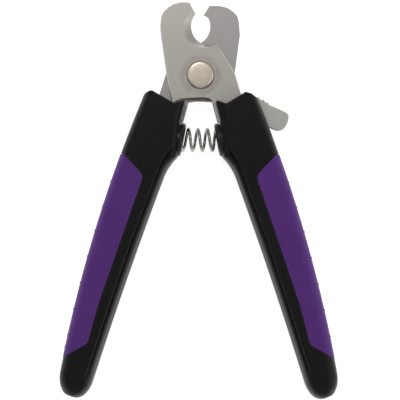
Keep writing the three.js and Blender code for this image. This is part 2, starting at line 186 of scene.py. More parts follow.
def inward(points: np.ndarray) -> np.ndarray:
    """Mitred inward direction at each point of a counter-clockwise outline.

    It is the mean of the left normals of the two sides, over the cosine of the angle to either.

    Args:
        points: (n, 2) corners.

    Returns:
        (n, 2) directions, which move every side inwards by 1 mm.
    """
    side = np.roll(points, -1, axis=0) - points
    side /= np.linalg.norm(side, axis=1, keepdims=True)
    before = np.roll(side, 1, axis=0)
    normal = np.stack([-side[:, 1] - before[:, 1], side[:, 0] + before[:, 0]], 1)
    normal /= np.linalg.norm(normal, axis=1, keepdims=True)
    cosine = np.sum(normal * np.stack([-side[:, 1], side[:, 0]], 1), axis=1, keepdims=True)
    return normal / np.maximum(cosine, MITRE_LIMIT)


def outward_normals(points: np.ndarray, middle: np.ndarray) -> np.ndarray:
    """Unit normals of a grid of points: the cross product of its two directions of travel.

    Args:
        points: (rows, columns, 3) grid that runs round the line x = middle, z = 0.
        middle: x of that line, for each row or each point.

    Returns:
        The normals, each turned away from the line.
    """
    down, across = np.gradient(points, axis=0), np.gradient(points, axis=1)
    normal = np.cross(across, down)
    normal = normal / np.maximum(np.linalg.norm(normal, axis=-1, keepdims=True), 1e-9)
    away = np.stack([points[..., 0] - middle, 0 * points[..., 0], points[..., 2]], -1)
    return normal * np.sign(np.sum(normal * away, -1, keepdims=True))


def circle(centre: tuple[float, float], radius: float, sides: int) -> np.ndarray:
    """Corners of a many-sided circle: the centre plus the radius times (cosine, sine)."""
    turn = np.linspace(0, 2 * np.pi, sides + 1)[:-1]
    return np.array(centre) + radius * np.stack([np.cos(turn), np.sin(turn)], 1)


def spun(profile: np.ndarray, sides: int) -> np.ndarray:
    """A profile of (radius, height, edge) rows carried round Z, closed on itself.

    Args:
        profile: (n, 3) rows.
        sides: how many sides the circle has.

    Returns:
        (n, sides + 1, 4) grid of x, y, z and edge.
    """
    angle = np.linspace(0, 2 * np.pi, sides + 1)[None, :]
    r, h, e = (np.broadcast_to(profile[:, i, None], (len(profile), sides + 1)) for i in range(3))
    points = np.stack([r * np.cos(angle), r * np.sin(angle), h, e], -1)
    points[:, -1] = points[:, 0]
    return points


def rounded_profile(corners: list, steps: int = 5) -> np.ndarray:
    """A turning profile from (radius, height, rounding) corners.

    Each corner is replaced by a quadratic curve that starts and ends its rounding away from it.

    Args:
        corners: the corners, of which the first and the last are never rounded.
        steps: points on each rounded corner.

    Returns:
        (radius, height, edge) rows. The edge value rises to 0.9 in the middle of a rounded corner.
    """
    c = np.array(corners, float)
    rows = []
    for i, (r, h, rounding) in enumerate(c):
        here = np.array([r, h])
        if rounding == 0 or i in (0, len(c) - 1):
            rows.append([[r, h, 0.0]])
            continue
        back, on = c[i - 1, :2] - here, c[i + 1, :2] - here
        start = here + back / np.linalg.norm(back) * rounding
        stop = here + on / np.linalg.norm(on) * rounding
        t = np.linspace(0, 1, steps)[:, None]
        bend = (1 - t) ** 2 * start + 2 * t * (1 - t) * here + t**2 * stop
        rows.append(np.hstack([bend, np.sin(t * np.pi) * 0.9]))
    return np.vstack(rows)


class MeshParts:
    """Grids, fans and flat fills gathered into one closed mesh.

    A point has x, y, z in millimetres and a fourth number for the edge attribute.
    """

    def __init__(self) -> None:
        """Starts with nothing gathered."""
        self.points: list[np.ndarray] = []
        self.quads: list[np.ndarray] = []
        self.tris: list[np.ndarray] = []
        self.count = 0

    def _keep(self, points: np.ndarray) -> int:
        """Stores points and returns the index of the first.

        Args:
            points: array of points, of three or four numbers.

        Returns:
            The index of the first.
        """
        flat = points.reshape(-1, points.shape[-1])
        if flat.shape[1] == 3:
            flat = np.hstack([flat, np.zeros((len(flat), 1))])
        self.points.append(flat)
        first = self.count
        self.count += len(flat)
        return first

    def grid(self, points: np.ndarray) -> None:
        """Adds a surface from a (rows, columns, 3 or 4) grid of points."""
        rows, columns = points.shape[:2]
        index = np.arange(rows * columns).reshape(rows, columns) + self._keep(points)
        corners = [index[:-1, :-1], index[1:, :-1], index[1:, 1:], index[:-1, 1:]]
        self.quads.append(np.stack(corners, -1).reshape(-1, 4))

    def fill(self, loops: list[np.ndarray]) -> None:
        """Adds a flat fill bounded by an outer loop and the holes after it."""
        first = self._keep(np.vstack(loops))
        found = tessellate_polygon([[Vector(p[:3]) for p in loop.tolist()] for loop in loops])
        self.tris.append(np.array(found, int) + first)

    def mesh(self, name: str, place: Placer, sharp: float) -> bpy.types.Mesh:
        """Welds everything, turns faces outwards and makes the mesh.

        Args:
            name: the mesh's name.
            place: takes the points to row-frame metres.
            sharp: angle in degrees past which an edge is shaded sharp.

        Returns:
            The mesh, with the edge attribute on its points.
        """
        points = np.vstack(self.points)
        cell = np.round(points[:, :3] / WELD).astype(np.int64)
        _, keep, back = np.unique(cell, axis=0, return_index=True, return_inverse=True)
        back = back.reshape(-1)
        quads = back[np.vstack(self.quads)] if self.quads else np.zeros((0, 4), int)
        tris = back[np.vstack(self.tris)] if self.tris else np.zeros((0, 3), int)
        same = quads == np.roll(quads, -1, axis=1)
        folded = (quads[:, 0] == quads[:, 2]) | (quads[:, 1] == quads[:, 3])
        whole = quads[(same.sum(1) == 0) & ~folded]
        one = (same.sum(1) == 1) & ~folded
        tris = np.vstack([tris, quads[one][~same[one]].reshape(-1, 3)])
        made = bpy.data.meshes.new(name)
        made.from_pydata(place(points[keep, :3]).tolist(), [], [*tris.tolist(), *whole.tolist()])
        edge = made.attributes.new(EDGE, "FLOAT", "POINT")
        edge.data.foreach_set("value", points[keep, 3].astype(np.float32))
        work = bmesh.new()
        work.from_mesh(made)
        loose = [v for v in work.verts if not v.link_faces]
        bmesh.ops.delete(work, geom=loose, context="VERTS")
        bmesh.ops.recalc_face_normals(work, faces=work.faces)
        if work.calc_volume(signed=True) < 0:
            bmesh.ops.reverse_faces(work, faces=work.faces)
        work.to_mesh(made)
        work.free()
        made.polygons.foreach_set("use_smooth", np.ones(len(made.polygons), bool))
        made.set_sharp_from_angle(angle=math.radians(sharp))
        return made


@dataclass(frozen=True)
class Layout:
    """Where the pivot stands in the row frame, and how far each handle is swung open."""

    pivot: tuple[float, float, float]  # millimetres
    open_angle: float = 19.0  # degrees from the middle line

    def place(self, half: Half) -> Placer:
        """Function that takes handle-frame millimetres to row-frame metres for a half.

        x' = s (x cos a - y sin a), y' = x sin a + y cos a, moved to the pivot, with s -1 on the left.

        Args:
            half: the half that the points belong to.

        Returns:
            The function.
        """
        turn = math.radians(self.open_angle)
        cosine, sine = math.cos(turn), math.sin(turn)

        def placed(p: np.ndarray) -> np.ndarray:
            """Row-frame metres of handle-frame points."""
            across = (p[:, 0] * cosine - p[:, 1] * sine) * half.value
            along = p[:, 0] * sine + p[:, 1] * cosine
            return self.straight(np.stack([across, along, p[:, 2]], 1))

        return placed

    def straight(self, p: np.ndarray) -> np.ndarray:
        """Row-frame metres of points given in millimetres from the pivot."""
        return (p + np.array(self.pivot)) * MM


def deliver(
    parts: MeshParts,
    name: str,
    place: Placer,
    material: bpy.types.Material,
    body: str,
    sharp: float = 32.0,
) -> bpy.types.Object:
    """Makes the object that stands for the CAD node of the same name, and lets it ride on its body.

    Args:
        parts: the gathered surfaces.
        name: name of the CAD node; the piece is called the same with _skin after it.
        place: takes the points to row-frame metres.
        material: the finish.
        body: the CAD body, or "" for a piece that rides on no body.
        sharp: angle in degrees past which an edge is shaded sharp.

    Returns:
        The new object.
    """
    mesh = parts.mesh(f"{name}_skin", place, sharp)
    mesh.materials.append(material)
    made = bpy.data.objects.new(f"{name}_skin", mesh)
    bpy.context.scene.collection.objects.link(made)
    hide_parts(name)
    if body:
        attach(made, body)
    LOG.info("%s: %d faces", made.name, len(mesh.polygons))
    return made


# ---------------------------------------------------------------- finishes


class NodeBench:
    """Adds nodes to a tree and feeds their sockets with values or links."""

    def __init__(self, tree: bpy.types.NodeTree) -> None:
        """Works on one tree."""
        self.tree = tree

    def feed(self, node: bpy.types.Node, feeds: dict[str | int, Feed]) -> None:
        """Links a node's inputs, given by name or index, or sets their constants."""
        for key, value in feeds.items():
            if isinstance(value, Socket):
                self.tree.links.new(value, node.inputs[key])
            else:
                node.inputs[key].default_value = value

    def add(self, kind: str, options: dict | None = None, feeds: dict | None = None) -> bpy.types.Node:
        """Adds one node.

        Args:
            kind: node type.
            options: node properties.
            feeds: input name or index to a value or a socket.

        Returns:
            The node.
        """
        node = self.tree.nodes.new(kind)
        for key, value in (options or {}).items():
            setattr(node, key, value)
        self.feed(node, feeds or {})
        return node

    def math(self, operation: str, a: Feed, b: Feed = 0.0) -> Socket:
        """Result of a Math node."""
        return self.add("ShaderNodeMath", {"operation": operation}, {0: a, 1: b}).outputs[0]

    def spread(
        self, value: Feed, low: float, high: float, to_low: float = 0.0, to_high: float = 1.0
    ) -> Socket:
        """Result of a clamped Map Range node.

        Args:
            value: what is mapped.
            low: value that gives to_low.
            high: value that gives to_high.
            to_low: result at and below low.
            to_high: result at and past high.

        Returns:
            The mapped value.
        """
        feeds = {"Value": value, "From Min": low, "From Max": high, "To Min": to_low, "To Max": to_high}
        return self.add("ShaderNodeMapRange", {}, feeds).outputs[0]

    def noise(self, vector: Socket, scale: Feed, detail: float = 3.0, roughness: float = 0.55) -> Socket:
        """Value of a noise texture."""
        feeds = {"Vector": vector, "Scale": scale, "Detail": detail, "Roughness": roughness}
        return self.add("ShaderNodeTexNoise", {}, feeds).outputs[0]

    def blend(self, factor: Feed, a: Feed, b: Feed) -> Socket:
        """Colour mixed from a to b by a factor."""
        return self.add("ShaderNodeMix", {"data_type": "RGBA"}, {0: factor, 6: a, 7: b}).outputs[2]

    def bump(self, height: Socket, depth: Feed) -> Socket:
        """Normal of a full-strength bump."""
        feeds = {"Strength": 1.0, "Distance": depth, "Height": height}
        return self.add("ShaderNodeBump", {}, feeds).outputs[0]

    def moved(self, vector: Socket, centre: tuple, turn: float = 0.0) -> Socket:
        """A vector measured from a centre and turned about Z by an angle in radians."""
        feeds = {"Vector": vector, "Location": tuple(-c for c in centre), "Rotation": (0.0, 0.0, turn)}
        return self.add("ShaderNodeMapping", {}, feeds).outputs[0]

    def polar(self, vector: Socket) -> tuple[Sockets, Socket]:
        """A vector's three parts, and its distance from the Z axis."""
        parts = self.add("ShaderNodeSeparateXYZ", {}, {0: vector}).outputs
        flat = self.add("ShaderNodeCombineXYZ", {}, {0: parts[0], 1: parts[1]}).outputs[0]
        return parts, self.add("ShaderNodeVectorMath", {"operation": "LENGTH"}, {0: flat}).outputs["Value"]

    def effect(self, group: bpy.types.NodeTree, feeds: dict[str, Feed]) -> Sockets:
        """Outputs of a shared effect, placed with its own values."""
        return self.add("ShaderNodeGroup", {"node_tree": group}, feeds).outputs


def group_of(
    name: str, inputs: dict[str, float], outputs: dict[str, str]
) -> tuple[bpy.types.NodeTree, NodeBench, Sockets, bpy.types.Node]:
    """A new shader node group with named sockets, whose first input is a vector.

    Args:
        name: the group's name.
        inputs: name and default of each number it takes.
        outputs: name and kind of each output.

    Returns:
        The group, a bench on it, its input node's outputs and its output node.
    """
    group = bpy.data.node_groups.new(name, "ShaderNodeTree")
    group.interface.new_socket("Vector", in_out="INPUT", socket_type="NodeSocketVector")
    for label, default in inputs.items():
        socket = group.interface.new_socket(label, in_out="INPUT", socket_type="NodeSocketFloat")
        socket.default_value = default
    for label, kind in outputs.items():
        group.interface.new_socket(label, in_out="OUTPUT", socket_type=f"NodeSocket{kind}")
    bench = NodeBench(group)
    return group, bench, bench.add("NodeGroupInput").outputs, bench.add("NodeGroupOutput")


def moulded_grain_group() -> bpy.types.NodeTree:
    """Spark-eroded mould grain: two sizes of fine noise as bumps, and a slow drift in shade and gloss.

    Returns:
        The group.
    """
    inputs = {"Grain per metre": 3000, "Depth": 0.00003}
    outputs = {"Normal": "Vector", "Drift": "Float", "Grain": "Float"}
    group, bench, given, out = group_of("Moulded grain", inputs, outputs)
    spot, scale, fine_share = given["Vector"], given["Grain per metre"], 0.65
    fine = bench.noise(spot, scale, 2.0, 0.6)
    coarse = bench.noise(spot, bench.math("MULTIPLY", scale, 0.35), 2.0)
    shares = bench.math("MULTIPLY", fine, fine_share), bench.math("MULTIPLY", coarse, 1 - fine_share)
    height = bench.math("ADD", *shares)
    drift = bench.spread(bench.noise(spot, 45.0, 3.0), 0.3, 0.7)
    bench.feed(out, {"Normal": bench.bump(height, given["Depth"]), "Drift": drift, "Grain": height})
    return group


def brushing_group() -> bpy.types.NodeTree:
    """Belt-brushed metal: noise stretched along y, as tone and shallow scratches, and a slow cloudiness.

    Returns:
        The group.
    """
    inputs = {"Lines per metre": 4000, "Stretch": 30, "Depth": 0.00001}
    outputs = {"Normal": "Vector", "Tone": "Float", "Cloud": "Float"}
    group, bench, given, out = group_of("Brushed lines", inputs, outputs)
    parts = bench.add("ShaderNodeSeparateXYZ", {}, {0: given["Vector"]}).outputs
    slow = bench.math("DIVIDE", parts[1], given["Stretch"])
    drawn = bench.add("ShaderNodeCombineXYZ", {}, {0: parts[0], 1: slow, 2: parts[2]}).outputs[0]
    lines = bench.noise(drawn, given["Lines per metre"], 3.0, 0.65)
    tone = bench.spread(lines, 0.32, 0.68)
    cloud = bench.spread(bench.noise(given["Vector"], 24.0, 1.0), 0.25, 0.75)
    bench.feed(out, {"Normal": bench.bump(lines, given["Depth"]), "Tone": tone, "Cloud": cloud})
    return group


def edge_wear_and_highlight_group() -> bpy.types.NodeTree:
    """Rubbed edges and painted rim highlight: the edge attribute broken up by noise, so that the lighter rim
    comes and goes along it.

    Returns:
        The group.
    """
    group, bench, given, out = group_of("Rubbed edges and painted rim highlight", {"Edge": 0, "Amount": 0.5}, {"Mask": "Float"})
    broken = bench.spread(bench.noise(given["Vector"], 700.0, 4.0, 0.7), 0.3, 0.65)
    mask = bench.math("MULTIPLY", bench.math("MULTIPLY", given["Edge"], broken), given["Amount"])
    bench.feed(out, {"Mask": bench.spread(mask, 0.0, 1.0)})
    return group


def dust_group() -> bpy.types.NodeTree:
    """Dust and fingermarks: sparse specks from tight noise, thickened where a slow noise is high.

    Returns:
        The group.
    """
    group, bench, given, out = group_of("Dust", {"Amount": 0.3}, {"Mask": "Float"})
    specks = bench.spread(bench.noise(given["Vector"], 1900.0, 1.0), 0.66, 0.8)
    patches = bench.spread(bench.noise(given["Vector"], 60.0, 3.0), 0.4, 0.75)
    total = bench.math("MULTIPLY", bench.math("MULTIPLY", specks, patches), given["Amount"])
    bench.feed(out, {"Mask": bench.spread(total, 0.0, 1.0)})
    return group


def joint_wear_and_shade_group() -> bpy.types.NodeTree:
    """Marks round a pivot: a scuffed ring from use on the open face, and painted shade, for the head's
    contact shadow and for the shade between the plates.

    The vector is measured from the pivot on the blades' meeting plane. A ring is one minus the distance
    to its circle over its width. The painted shade between the plates fades out from 10.5 to 13.5 mm away
    from the axis and from 0.3 to 0.6 mm away from the plane.

    Returns:
        The group.
    """
    outputs = {"Ring": "Float", "Grime": "Float"}
    group, bench, given, out = group_of("Joint wear and painted shade", {"Radius": 0.0074, "Width": 0.0019}, outputs)
    parts, away = bench.polar(given["Vector"])

    def ring(radius: Feed, width: Feed) -> Socket:
        """Mask of a ring about the axis."""
        off = bench.math("ABSOLUTE", bench.math("SUBTRACT", away, radius))
        return bench.spread(bench.math("SUBTRACT", 1.0, bench.math("DIVIDE", off, width)), 0.0, 1.0)

    broken = bench.spread(bench.noise(given["Vector"], 260.0, 3.0, 0.6), 0.3, 0.65)
    level = bench.spread(bench.math("ABSOLUTE", parts[2]), 0.0003, 0.0006, 1.0, 0.0)
    between = bench.math("MULTIPLY", level, bench.spread(away, 0.0105, 0.0135, 1.0, 0.0))
    # painted shade: a dark ring just outside the bolt head's rim for its contact shadow, and the meeting
    # faces near the pivot for the shade one blade casts on the other
    shade_spots = bench.math("MAXIMUM", ring(0.0055, 0.0007), between)
    grime = bench.math("MULTIPLY", shade_spots, bench.spread(broken, 0.0, 1.0, 0.6, 1.0))
    scuffed = bench.math("MULTIPLY", ring(given["Radius"], given["Width"]), broken)
    bench.feed(out, {"Ring": scuffed, "Grime": grime})
    return group


@dataclass
class EffectGroups:
    """The effects that several finishes share, each built once."""

    grain: bpy.types.NodeTree = field(default_factory=moulded_grain_group)
    brushing: bpy.types.NodeTree = field(default_factory=brushing_group)
    wear_and_highlight: bpy.types.NodeTree = field(default_factory=edge_wear_and_highlight_group)
    dust: bpy.types.NodeTree = field(default_factory=dust_group)
    marks: bpy.types.NodeTree = field(default_factory=joint_wear_and_shade_group)


def linear(colour: Rgb) -> tuple[float, float, float, float]:
    """Linear colour of an 8-bit screen colour, by the sRGB curve."""
    c = np.array(colour, float) / 255
    value = np.where(c <= 0.04045, c / 12.92, ((c + 0.055) / 1.055) ** 2.4)
    return (*value.tolist(), 1.0)


def start_material(name: str) -> tuple[bpy.types.Material, NodeBench, bpy.types.Node, Socket]:
    """A material with an empty tree, its Principled shader wired to the output, and Object coordinates.

    Args:
        name: the material's name.

    Returns:
        The material, a bench on it, its shader and its Object coordinates.
    """
    material = bpy.data.materials.new(name)
    material.use_nodes = True
    material.node_tree.nodes.clear()
    bench = NodeBench(material.node_tree)
    shader = bench.add("ShaderNodeBsdfPrincipled")
    bench.add("ShaderNodeOutputMaterial", {}, {"Surface": shader.outputs[0]})
    return material, bench, shader, bench.add("ShaderNodeTexCoord").outputs["Object"]


def rubbed_and_highlit_edges(bench: NodeBench, effects: EffectGroups, spot: Socket, amount: float) -> Socket:
    """Mask of the edges painted lighter for rubbing and as a painted rim highlight, from the mesh's own edge
    attribute.
    """
    edge = bench.add("ShaderNodeAttribute", {"attribute_name": EDGE}).outputs["Fac"]
    return bench.effect(effects.wear_and_highlight, {"Vector": spot, "Edge": edge, "Amount": amount})[0]


def uneven_gloss(
    bench: NodeBench, base: float, broken: Socket, change: float, worn_and_highlit: Socket, polish: float
) -> Socket:
    """Roughness: the base, plus or minus half the change, less the polish on rubbed edges.

    Args:
        bench: bench on the material.
        base: mean roughness.
        broken: pattern from 0 to 1 that changes it.
        change: how much it changes.
        worn_and_highlit: mask of the edges painted lighter for rubbing and as a painted rim highlight.
        polish: how much smoother those are.

    Returns:
        The roughness.
    """
    rough = bench.math("ADD", bench.math("MULTIPLY", broken, change), base - change / 2)
    return bench.math("SUBTRACT", rough, bench.math("MULTIPLY", worn_and_highlit, polish))


@dataclass(frozen=True)
class PlasticFinish:
    """Injection-moulded plastic or soft-touch rubber."""

    name: str
    base: Rgb
    shade: Rgb  # the drift's other colour
    rubbed_and_highlit: Rgb  # colour of rims painted lighter for rubbing and as a painted rim highlight
    roughness: float
    specular: float
    grain_per_metre: float
    grain_depth: float
    wear_and_highlight: float
    dust: float
    sheen: float = 0.0
    sheen_tint: Rgb = (255, 255, 255)
    sheen_roughness: float = 0.35
    dust_colour: Rgb = (150, 147, 142)
    gloss_change: float = 0.16  # how much the grain changes the roughness
    polish: float = 0.12  # how much smoother rubbed rims are

    def build(self, effects: EffectGroups) -> bpy.types.Material:
        """Makes the material: drifted colour, rims lightened for rubbing and as a painted rim highlight,
        dust, grain bump and grain-broken gloss.

        Args:
            effects: the shared effects.

        Returns:
            The material.
        """
        material, bench, shader, spot = start_material(self.name)
        feeds = {"Vector": spot, "Grain per metre": self.grain_per_metre, "Depth": self.grain_depth}
        grain = bench.effect(effects.grain, feeds)
        # lighter rims: rubbing, and a painted rim highlight
        worn_and_highlit = rubbed_and_highlit_edges(bench, effects, spot, self.wear_and_highlight)
        dusty = bench.effect(effects.dust, {"Vector": spot, "Amount": self.dust})[0]
        colour = bench.blend(grain["Drift"], linear(self.base), linear(self.shade))
        colour = bench.blend(worn_and_highlit, colour, linear(self.rubbed_and_highlit))
        rough = uneven_gloss(bench, self.roughness, grain["Grain"], self.gloss_change, worn_and_highlit, self.polish)
        bench.feed(
            shader,
            {
                "Base Color": bench.blend(dusty, colour, linear(self.dust_colour)),
                "Roughness": rough,
                "Normal": grain["Normal"],
                "Specular IOR Level": self.specular,
                "Sheen Weight": self.sheen,
                "Sheen Roughness": self.sheen_roughness,
                "Sheen Tint": linear(self.sheen_tint),
            },
        )
        return material


@dataclass(frozen=True)
class MetalFinish:
    """Bare metal, brushed along one direction or turned about a centre."""

    name: str
    base: Rgb
    shade: Rgb
    roughness: float
    lines_per_metre: float
    line_depth: float
    stretch: float = 30.0
    direction: float = 0.0  # degrees about Z
    centre: tuple[float, float] | None = None  # metres; given, the marks are circles about it
    wear_and_highlight: float = 0.4
    line_share: float = 0.5  # how much of the tone comes from the lines, the rest being cloudy
    joint: tuple[float, float, float] | None = None  # metres; given, a scuffed ring from use lies round the pivot, with painted shade by the bolt head and between the plates
    sweep: float = 0.004  # metres of pattern to a radian, where the marks are circles
    ring: tuple[Rgb, float] = ((156, 142, 136), 0.5)  # colour and strength of the scuffed ring
    # colour and strength of the painted shade round the bolt head and between the plates
    grime: tuple[Rgb, float] = ((66, 60, 54), 0.85)
    # colour of rims painted lighter for rubbing and as a painted rim highlight
    rubbed_and_highlit: Rgb = (232, 229, 222)
    gloss_change: float = 0.1
    polish: float = 0.1

    def build(self, effects: EffectGroups) -> bpy.types.Material:
        """Makes the material: tone in lines and clouds, bright edges for rubbing and as a painted rim
        highlight, painted shade round a given pivot, scratches and uneven gloss.

        Args:
            effects: the shared effects.

        Returns:
            The material.
        """
        material, bench, shader, spot = start_material(self.name)
        centre = (*(self.centre or (0.0, 0.0)), 0.0)
        drawn = bench.moved(spot, centre, math.radians(self.direction))
        if self.centre is not None:
            parts, away = bench.polar(drawn)
            swept = bench.math("MULTIPLY", bench.math("ARCTAN2", parts[1], parts[0]), self.sweep)
            drawn = bench.add("ShaderNodeCombineXYZ", {}, {0: away, 1: swept, 2: parts[2]}).outputs[0]
        feeds = {"Lines per metre": self.lines_per_metre, "Stretch": self.stretch, "Depth": self.line_depth}
        lines = bench.effect(effects.brushing, {"Vector": drawn} | feeds)
        # bright rims: rubbing, and a painted rim highlight
        worn_and_highlit = rubbed_and_highlit_edges(bench, effects, spot, self.wear_and_highlight)
        shares = ((lines["Tone"], self.line_share), (lines["Cloud"], 1 - self.line_share))
        mixed = bench.math("ADD", *(bench.math("MULTIPLY", *share) for share in shares))
        colour = bench.blend(mixed, linear(self.base), linear(self.shade))
        if self.joint is not None:
            marks = bench.effect(effects.marks, {"Vector": bench.moved(spot, self.joint)})
            # a scuffed ring from use, and painted shade round the bolt head and between the plates
            for mask, (tint, strength) in ((marks["Ring"], self.ring), (marks["Grime"], self.grime)):
                colour = bench.blend(bench.math("MULTIPLY", mask, strength), colour, linear(tint))
        rough = uneven_gloss(bench, self.roughness, lines["Cloud"], self.gloss_change, worn_and_highlit, self.polish)
        colour = bench.blend(worn_and_highlit, colour, linear(self.rubbed_and_highlit))
        feeds = {"Base Color": colour, "Roughness": rough, "Normal": lines["Normal"], "Metallic": 1.0}
        bench.feed(shader, feeds)
        return material


@dataclass
class Finishes:
    """Every material of the tool."""

    layout: Layout
    effects: EffectGroups = field(default_factory=EffectGroups)

    def __post_init__(self) -> None:
        """Builds the materials."""
        joint = tuple(c * MM for c in self.layout.pivot)
        lean = self.layout.open_angle
        front = MetalFinish(
            "Front blade steel", (199, 195, 188), (190, 186, 179), 0.44, 2200, 6e-6, 60, -lean,
            line_share=0.7, joint=joint,
        )
        # darker and greyer than the front blade steel; the darkening is painted shade, as the rear blade lies
        # lower, under the front plate
        rear = MetalFinish(
            "Rear blade steel", (185, 182, 179), (177, 174, 172), 0.42, 2200, 7e-6, 60, lean,
            line_share=0.7, joint=joint,
        )
        lever = MetalFinish("Blasted lever steel", (214, 211, 205), (192, 190, 184), 0.46, 2400, 1.4e-5, 1.4)
        bright = MetalFinish(
            "Turned bright steel", (248, 238, 221), (219, 207, 188), 0.34, 2200, 6e-6, 8,
            centre=joint[:2], line_share=0.8,
        )
        wire = MetalFinish("Spring wire", (186, 183, 178), (152, 150, 146), 0.22, 1800, 4e-6, 8)
        zinc = MetalFinish("Zinc plate", (176, 178, 182), (158, 160, 166), 0.36, 1500, 6e-6, 1.5)
        black = PlasticFinish(
            "Black moulded plastic", (12, 12, 12), (16, 16, 15), (70, 69, 67), 0.4, 0.2, 2600, 2.2e-5, 0.25,
            0.1, sheen=0.25,
        )
        seat_black = PlasticFinish(
            "Glossy seat plastic", (11, 11, 11), (15, 15, 15), (70, 69, 67), 0.32, 0.36, 2600, 1.2e-5, 0.3,
            0.05,
        )
        purple = PlasticFinish(
            "Purple soft rubber", (93, 43, 131), (85, 40, 121), (128, 98, 148), 0.56, 0.26, 2200, 3e-5, 0.3,
            0.08, sheen=0.25, sheen_tint=(190, 165, 210),
        )
        self.front_blade, self.rear_blade, self.lever, self.bright, self.wire, self.zinc = (
            finish.build(self.effects) for finish in (front, rear, lever, bright, wire, zinc)
        )
        self.black, self.seat_black, self.purple = (
            finish.build(self.effects) for finish in (black, seat_black, purple)
        )


# ---------------------------------------------------------------- handles


@dataclass(frozen=True)
class HandleForm:
    """The handle block: its edges as arcs, its rounded section and end, its rail, grip recess and cut top."""

    half_thickness: float = 8.0
    outer_round: float = 4.5
    inner_round: float = 3.6
    rail_height: float = 6.8  # how far down the rail's rounding reaches below the seat
    crown: float = 0.035  # share of its height that the face falls towards its edges
    top_level: float = 12.4  # where the rows start, below the pivot
    top_fade: tuple[float, float] = (14.0, 9.0)  # the top's shape fades out from here, over this length
    end: float = 145.3
    end_round: float = 8.6
    end_draw: tuple[float, float, float] = (5.2, 4.4, 5.0)  # inner edge, outer edge, faces
    split: float = 0.15  # half the seam between the shells
    blade_room: float = 2.45  # height of the pockets for a blade or the lever
    rim_round: float = 0.7
    seam_round: float = 0.28
    groove_depth: float = 1.0
    groove_width: float = 0.48
    groove_span: tuple[float, float, float, float] = (31.0, 34.0, 127.0, 138.0)  # it comes in, it goes out
    rail_drop: float = 0.3  # how much lower the inner rail lies than the face
    grip_ends: tuple[float, float] = (41.9, 131.3)
    skin: float = 1.5
    recess: float = 1.85

    def outer(self, d: np.ndarray) -> np.ndarray:
        """Outer edge: one long arc that bulges 20.6 mm out at 50.4 mm below the pivot."""
        return 20.6 - (d - 50.4) ** 2 / 1188

    def inner(self, d: np.ndarray) -> np.ndarray:
        """Inner edge: straight to 20.8 mm, the seat's slope, from 36 mm a shoulder, then a flat arc.

        The arc peaks 0.72 mm out at 88 mm below the pivot and is held before 46 mm. The shoulder is a
        parabola that falls 2.5 mm in the 10 mm before that.

        Args:
            d: distance below the pivot.

        Returns:
            x of the edge.
        """
        straight_end, slope_end, arc_start = 20.8, 36, 46
        arc = 0.72 - (np.maximum(d, arc_start) - 88) ** 2 / 3500
        shoulder = arc - 2.5 * (np.clip(arc_start - d, 0, 10) / 10) ** 2
        straight = 2.2 - 0.09 * (np.minimum(d, straight_end) - 13)
        slope = straight + (shoulder - straight) * np.clip((d - straight_end) / 15.2, 0, 1)
        return np.where(d >= slope_end, shoulder, slope)

    def section(self, d: np.ndarray) -> tuple[np.ndarray, np.ndarray, np.ndarray]:
        """Inner edge, outer edge and half thickness, drawn in along a quarter ellipse at the rounded end.

        Args:
            d: distance below the pivot.

        Returns:
            The three, at each distance.
        """
        share = np.clip((d - self.end + self.end_round) / self.end_round, 0, 1)
        draw = 1 - np.sqrt(1 - share**2)
        inner, outer, faces = self.end_draw
        return self.inner(d) + inner * draw, self.outer(d) - outer * draw, self.half_thickness - faces * draw

    def crowned(self, x: np.ndarray, z: np.ndarray, low: np.ndarray, high: np.ndarray) -> np.ndarray:
        """Height less the crown: z times one minus the crown times the squared share from the middle.

        Args:
            x: distance out from the middle line.
            z: height on the uncrowned block.
            low: inner edge.
            high: outer edge.

        Returns:
            The height on the crowned block.
        """
        share = (2 * x - low - high) / (high - low)
        return z * (1 - self.crown * share**2)

    def top(self, x: np.ndarray, corner: float) -> np.ndarray:
        """Where the block starts: a peak by the tang, a valley, a rising shoulder and a cut corner.

        Args:
            x: distance out from the middle line.
            corner: size of the cut corner.

        Returns:
            Distance below the pivot of the top.
        """
        edge = float(self.outer(np.array(15.0)))
        xs = [1.6, 2.7, 6.4, edge - 0.8 - corner, edge - 0.35 - corner / 2, edge + 0.2, edge + 0.5]
        ys = [13, self.top_level, 15, 12.95, 13 + corner * 0.35, 13.5 + corner, 15.5 + corner]
        return np.interp(x, xs, ys)

    def grip_edge(self, d: np.ndarray) -> np.ndarray:
        """Inner boundary of the soft grip: slanted ends with eased corners and one long edge between."""
        ds = [41.8, 42.4, 44.7, 46.9, 47.7, 48.4, 49.4, 52.0, 104, 120.7, 121.6, 122.4, 123.3, 131.4, 138]
        xs = [21.0, 18.2, 13.6, 9.6, 8.75, 8.35, 8.13, 8.1, 8.1, 7.0, 7.1, 7.6, 8.4, 15.7, 21.5]
        return np.interp(d, ds, xs)

    def grip_inside(self, x: np.ndarray, d: np.ndarray) -> np.ndarray:
        """Distance inside the grip's boundary: x beyond the boundary, times the cosine of its slant."""
        step = 0.05
        slant = (self.grip_edge(d + step) - self.grip_edge(d - step)) / (2 * step)
        return (x - self.grip_edge(d)) / np.sqrt(1 + slant**2)

    def groove_at(self, d: np.ndarray) -> np.ndarray:
        """Line of the groove between the inner rail and the face, as x over the distance below the pivot."""
        ds = [30, 32.2, 35.5, 39.9, 46.6, 54.4, 74.7, 101.4, 123.4, 133, 138, 142, 145.3]
        xs = [-0.6, 0.1, 1.5, 2.7, 3.05, 3.1, 3.7, 3.5, 3.0, 3.0, 4.3, 6.2, 8.0]
        return np.interp(d, ds, xs)


